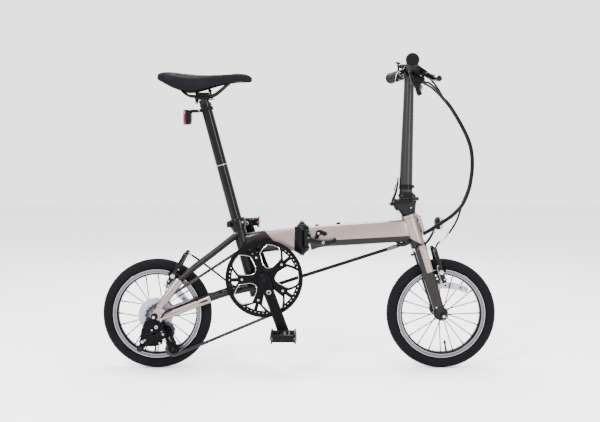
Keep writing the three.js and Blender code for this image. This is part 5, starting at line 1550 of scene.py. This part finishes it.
def seat():
    post = [
        (turn(on_seat(-110), on_seat(352), [(0, 14.6), (1, 16.3), (461, 16.3), (462, 14.6)], 64), gloss),
        (turn(on_seat(164), on_seat(167), [(0, 16.2), (0.3, 16.6), (2.7, 16.6), (3, 16.2)], 48), silver),
        (turn(on_seat(346), on_seat(356), [(0, 16.4), (1, 18), (9, 18), (10, 14)], 48), gloss),
        (beam([(V(-277.5, 0, 774), 15, 14), (V(-281, 0, 786), 17, 15), (V(-286, 0, 798), 20, 16)], 3, 44),
         gloss),
        (block(V(-287, 0, 800.4), (44, 54, 5.4)), black),
        (block(V(-287, 0, 815.6), (40, 54, 5)), black),
        (block(V(-287, 0, 808), (30, 32, 12)), black),
    ]
    for side in (-1, 1):
        for z, h in ((801.6, 1), (814.4, -1)):
            post.append((beam([(V(-307, side * 22, z + 1.6 * h), 6, 2.4),
                               (V(-267, side * 22, z + 1.6 * h), 6, 2.4)], 3, 24), black))
    for foot, top in ((V(-306, 0, 787), V(-304, 0, 824)), (V(-257.5, 0, 799), V(-268, 0, 829))):
        aim = (top - foot).normalized()
        post += [
            (rod(foot, top, 3, n=20), dark_steel),
            (hex_nut(foot - aim * 1.5, aim, 5.4, 5), chrome),
            (rod(foot + aim * 5, foot + aim * 14, 5.6, n=28), black),
            (rod(top - aim * 8, top, 6, 4.4, n=28, chamfer=1), black),
        ]
    for k in (-1, 1):
        post.append((beam([(V(-287 + k * 8, 0, 802), 12, 5), (V(-287 + k * 19, 0, 802), 9, 4)], 3, 24),
                     black))
    piece("seatpost_detail", "seat", post, ["seatpost"])
    rails = []
    for side in (-1, 1):
        line = [(-356, 33, 846), (-351, 32, 833), (-345, 30, 822), (-333, 26, 811.6), (-318, 22.4, 808),
                (-290, 22, 808), (-262, 22, 808.6), (-247, 19.6, 815), (-232, 16, 827), (-218, 12.6, 839),
                (-206, 8, 849)]
        rails.append((tube([V(x, side * y, z) for x, y, z in line], 3.5, 20, 8), black))
    piece("saddle_rail_detail", "seat", rails, ["saddle_rails"])
    back = [
        (ring_on(on_seat(333), on_seat(343), 16.5, 20), plastic),
        (beam([(on_seat(338) + V(-14, 0, -3), 8, 4.6), (on_seat(338) + V(-28, 0, -6), 7.6, 4.6),
               (V(-318, 0, 764), 7, 5), (V(-327, 0, 760), 7, 5)], 4, 28), plastic),
        (bolt(on_seat(338) + V(-22, -8, -4), RIGHT, 3, 1.6), chrome),
    ]
    middle = 745.5
    shell = [(-321.4, 15, 16), (-324, 19.6, 21), (-330, 20.8, 22.4), (-338, 21.2, 22.6)]
    back.append((facing([(x, middle, w, h) for x, w, h in shell], 4.2), plastic))
    lens = [(-336.6, 21.4, 22.9), (-341, 21.6, 23), (-343.4, 20.4, 21.6), (-344.2, 17, 18)]
    back.append((facing([(x, middle, w, h) for x, w, h in lens], 4.2), red_lens))
    back += lens_ribs(-343.9, 15, middle, 5, 3, 1.8, red_lens)
    back.append((bolt(V(-322, 0, 738), V(1, 0, 0), 3.4, 2), chrome))
    piece("rear_reflector_detail", "seat", back, ["rear_reflector"])
    saddle()


seat()

# ------------------------------------------------------------ stage


def studio():
    floor = bpy.data.objects.new("floor", bpy.data.meshes.new("floor"))
    floor.data.from_pydata([(-9, -9, 0), (9, -9, 0), (9, 9, 0), (-9, 9, 0)], [], [(0, 1, 2, 3)])
    n = Nodes("pale_floor")
    n.shader.inputs["Base Color"].default_value = (0.92, 0.92, 0.92, 1)
    n.shader.inputs["Roughness"].default_value = 0.9
    floor.data.materials.append(n.material)
    bpy.context.scene.collection.objects.link(floor)
    world = bpy.data.worlds.new("studio")
    bpy.context.scene.world = world
    world.use_nodes = True
    world.node_tree.nodes["Background"].inputs["Color"].default_value = (1, 1, 1, 1)
    world.node_tree.nodes["Background"].inputs["Strength"].default_value = 2.5
    for name, place, size, power in (
        ("key", (-1.5, -2.4, 2.3), (0.5, 1.8), 190),
        ("fill", (1.9, -2.5, 1.3), (0.35, 1.8), 90),
        ("top", (0.2, 0.3, 2.8), (1.8, 0.8), 110),
        ("back", (0.0, 2.6, 1.6), (1.6, 0.8), 40),
    ):
        light = bpy.data.lights.new(name, "AREA")
        light.shape = "RECTANGLE"
        light.size, light.size_y = size
        light.energy = power
        lamp = bpy.data.objects.new(name, light)
        lamp.location = place
        lamp.rotation_euler = (Vector((0, 0, 0.45)) - lamp.location).to_track_quat("-Z", "Y").to_euler()
        bpy.context.scene.collection.objects.link(lamp)
    camera = bpy.data.objects.new("camera", bpy.data.cameras.new("camera"))
    camera.data.lens = 50.85
    camera.data.sensor_width = 36
    camera.data.shift_y = -0.09
    camera.location = (0.0025, -2.53, 0.627)
    camera.rotation_euler = (math.pi / 2, 0, 0)
    bpy.context.scene.collection.objects.link(camera)
    bpy.context.scene.camera = camera


studio()

# The CAD's own nodes, which the finer pieces replace.
for material, names in (
    (brown, ("seat_tube", "seatstay_left", "seatstay_right")),
    (rear_tube_paint, ("main_tube_rear",)),
    (black, ("hinge_leaf_rear", "seat_clamp_collar", "rear_derailleur", "hinge_leaf_front",
             "frame_latch_lever", "handlepost_base", "handlepost_latch_lever", "brake_lever_left",
             "brake_lever_right", "chainring", "crank_arm_right", "crank_arm_left", "saddle_rails",
             "seat_clamp_lever", "front_brake_arm_left", "front_brake_arm_right", "rear_brake_arm_left",
             "rear_brake_arm_right")),
    (champagne, ("chainstay_left", "chainstay_right", "head_tube")),
    (chain_metal, ("chain",)),
    (cable_skin, ("tie_cable", "rear_brake_cable", "shift_cable", "control_cables_lower",
                  "front_brake_cable", "control_cables_upper")),
    (front_tube_paint, ("main_tube_front",)),
    (chrome, ("frame_hinge_pin",)),
    (fork_paint, ("fork",)),
    (clear_lens, ("front_reflector",)),
    (gloss, ("handlepost", "handlebar", "seatpost")),
    (grip_rubber, ("grip_left", "grip_right")),
    (plastic, ("brake_bracket_left", "brake_bracket_right", "shifter_body", "thumb_lever",
               "guide_pulley", "tension_pulley", "pedal_right", "pedal_left")),
    (silver, ("cassette",)),
    (leather, ("saddle",)),
    (red_lens, ("rear_reflector",)),
):
    for name in names:
        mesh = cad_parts[name].data
        mesh.materials.clear()
        mesh.materials.append(material)
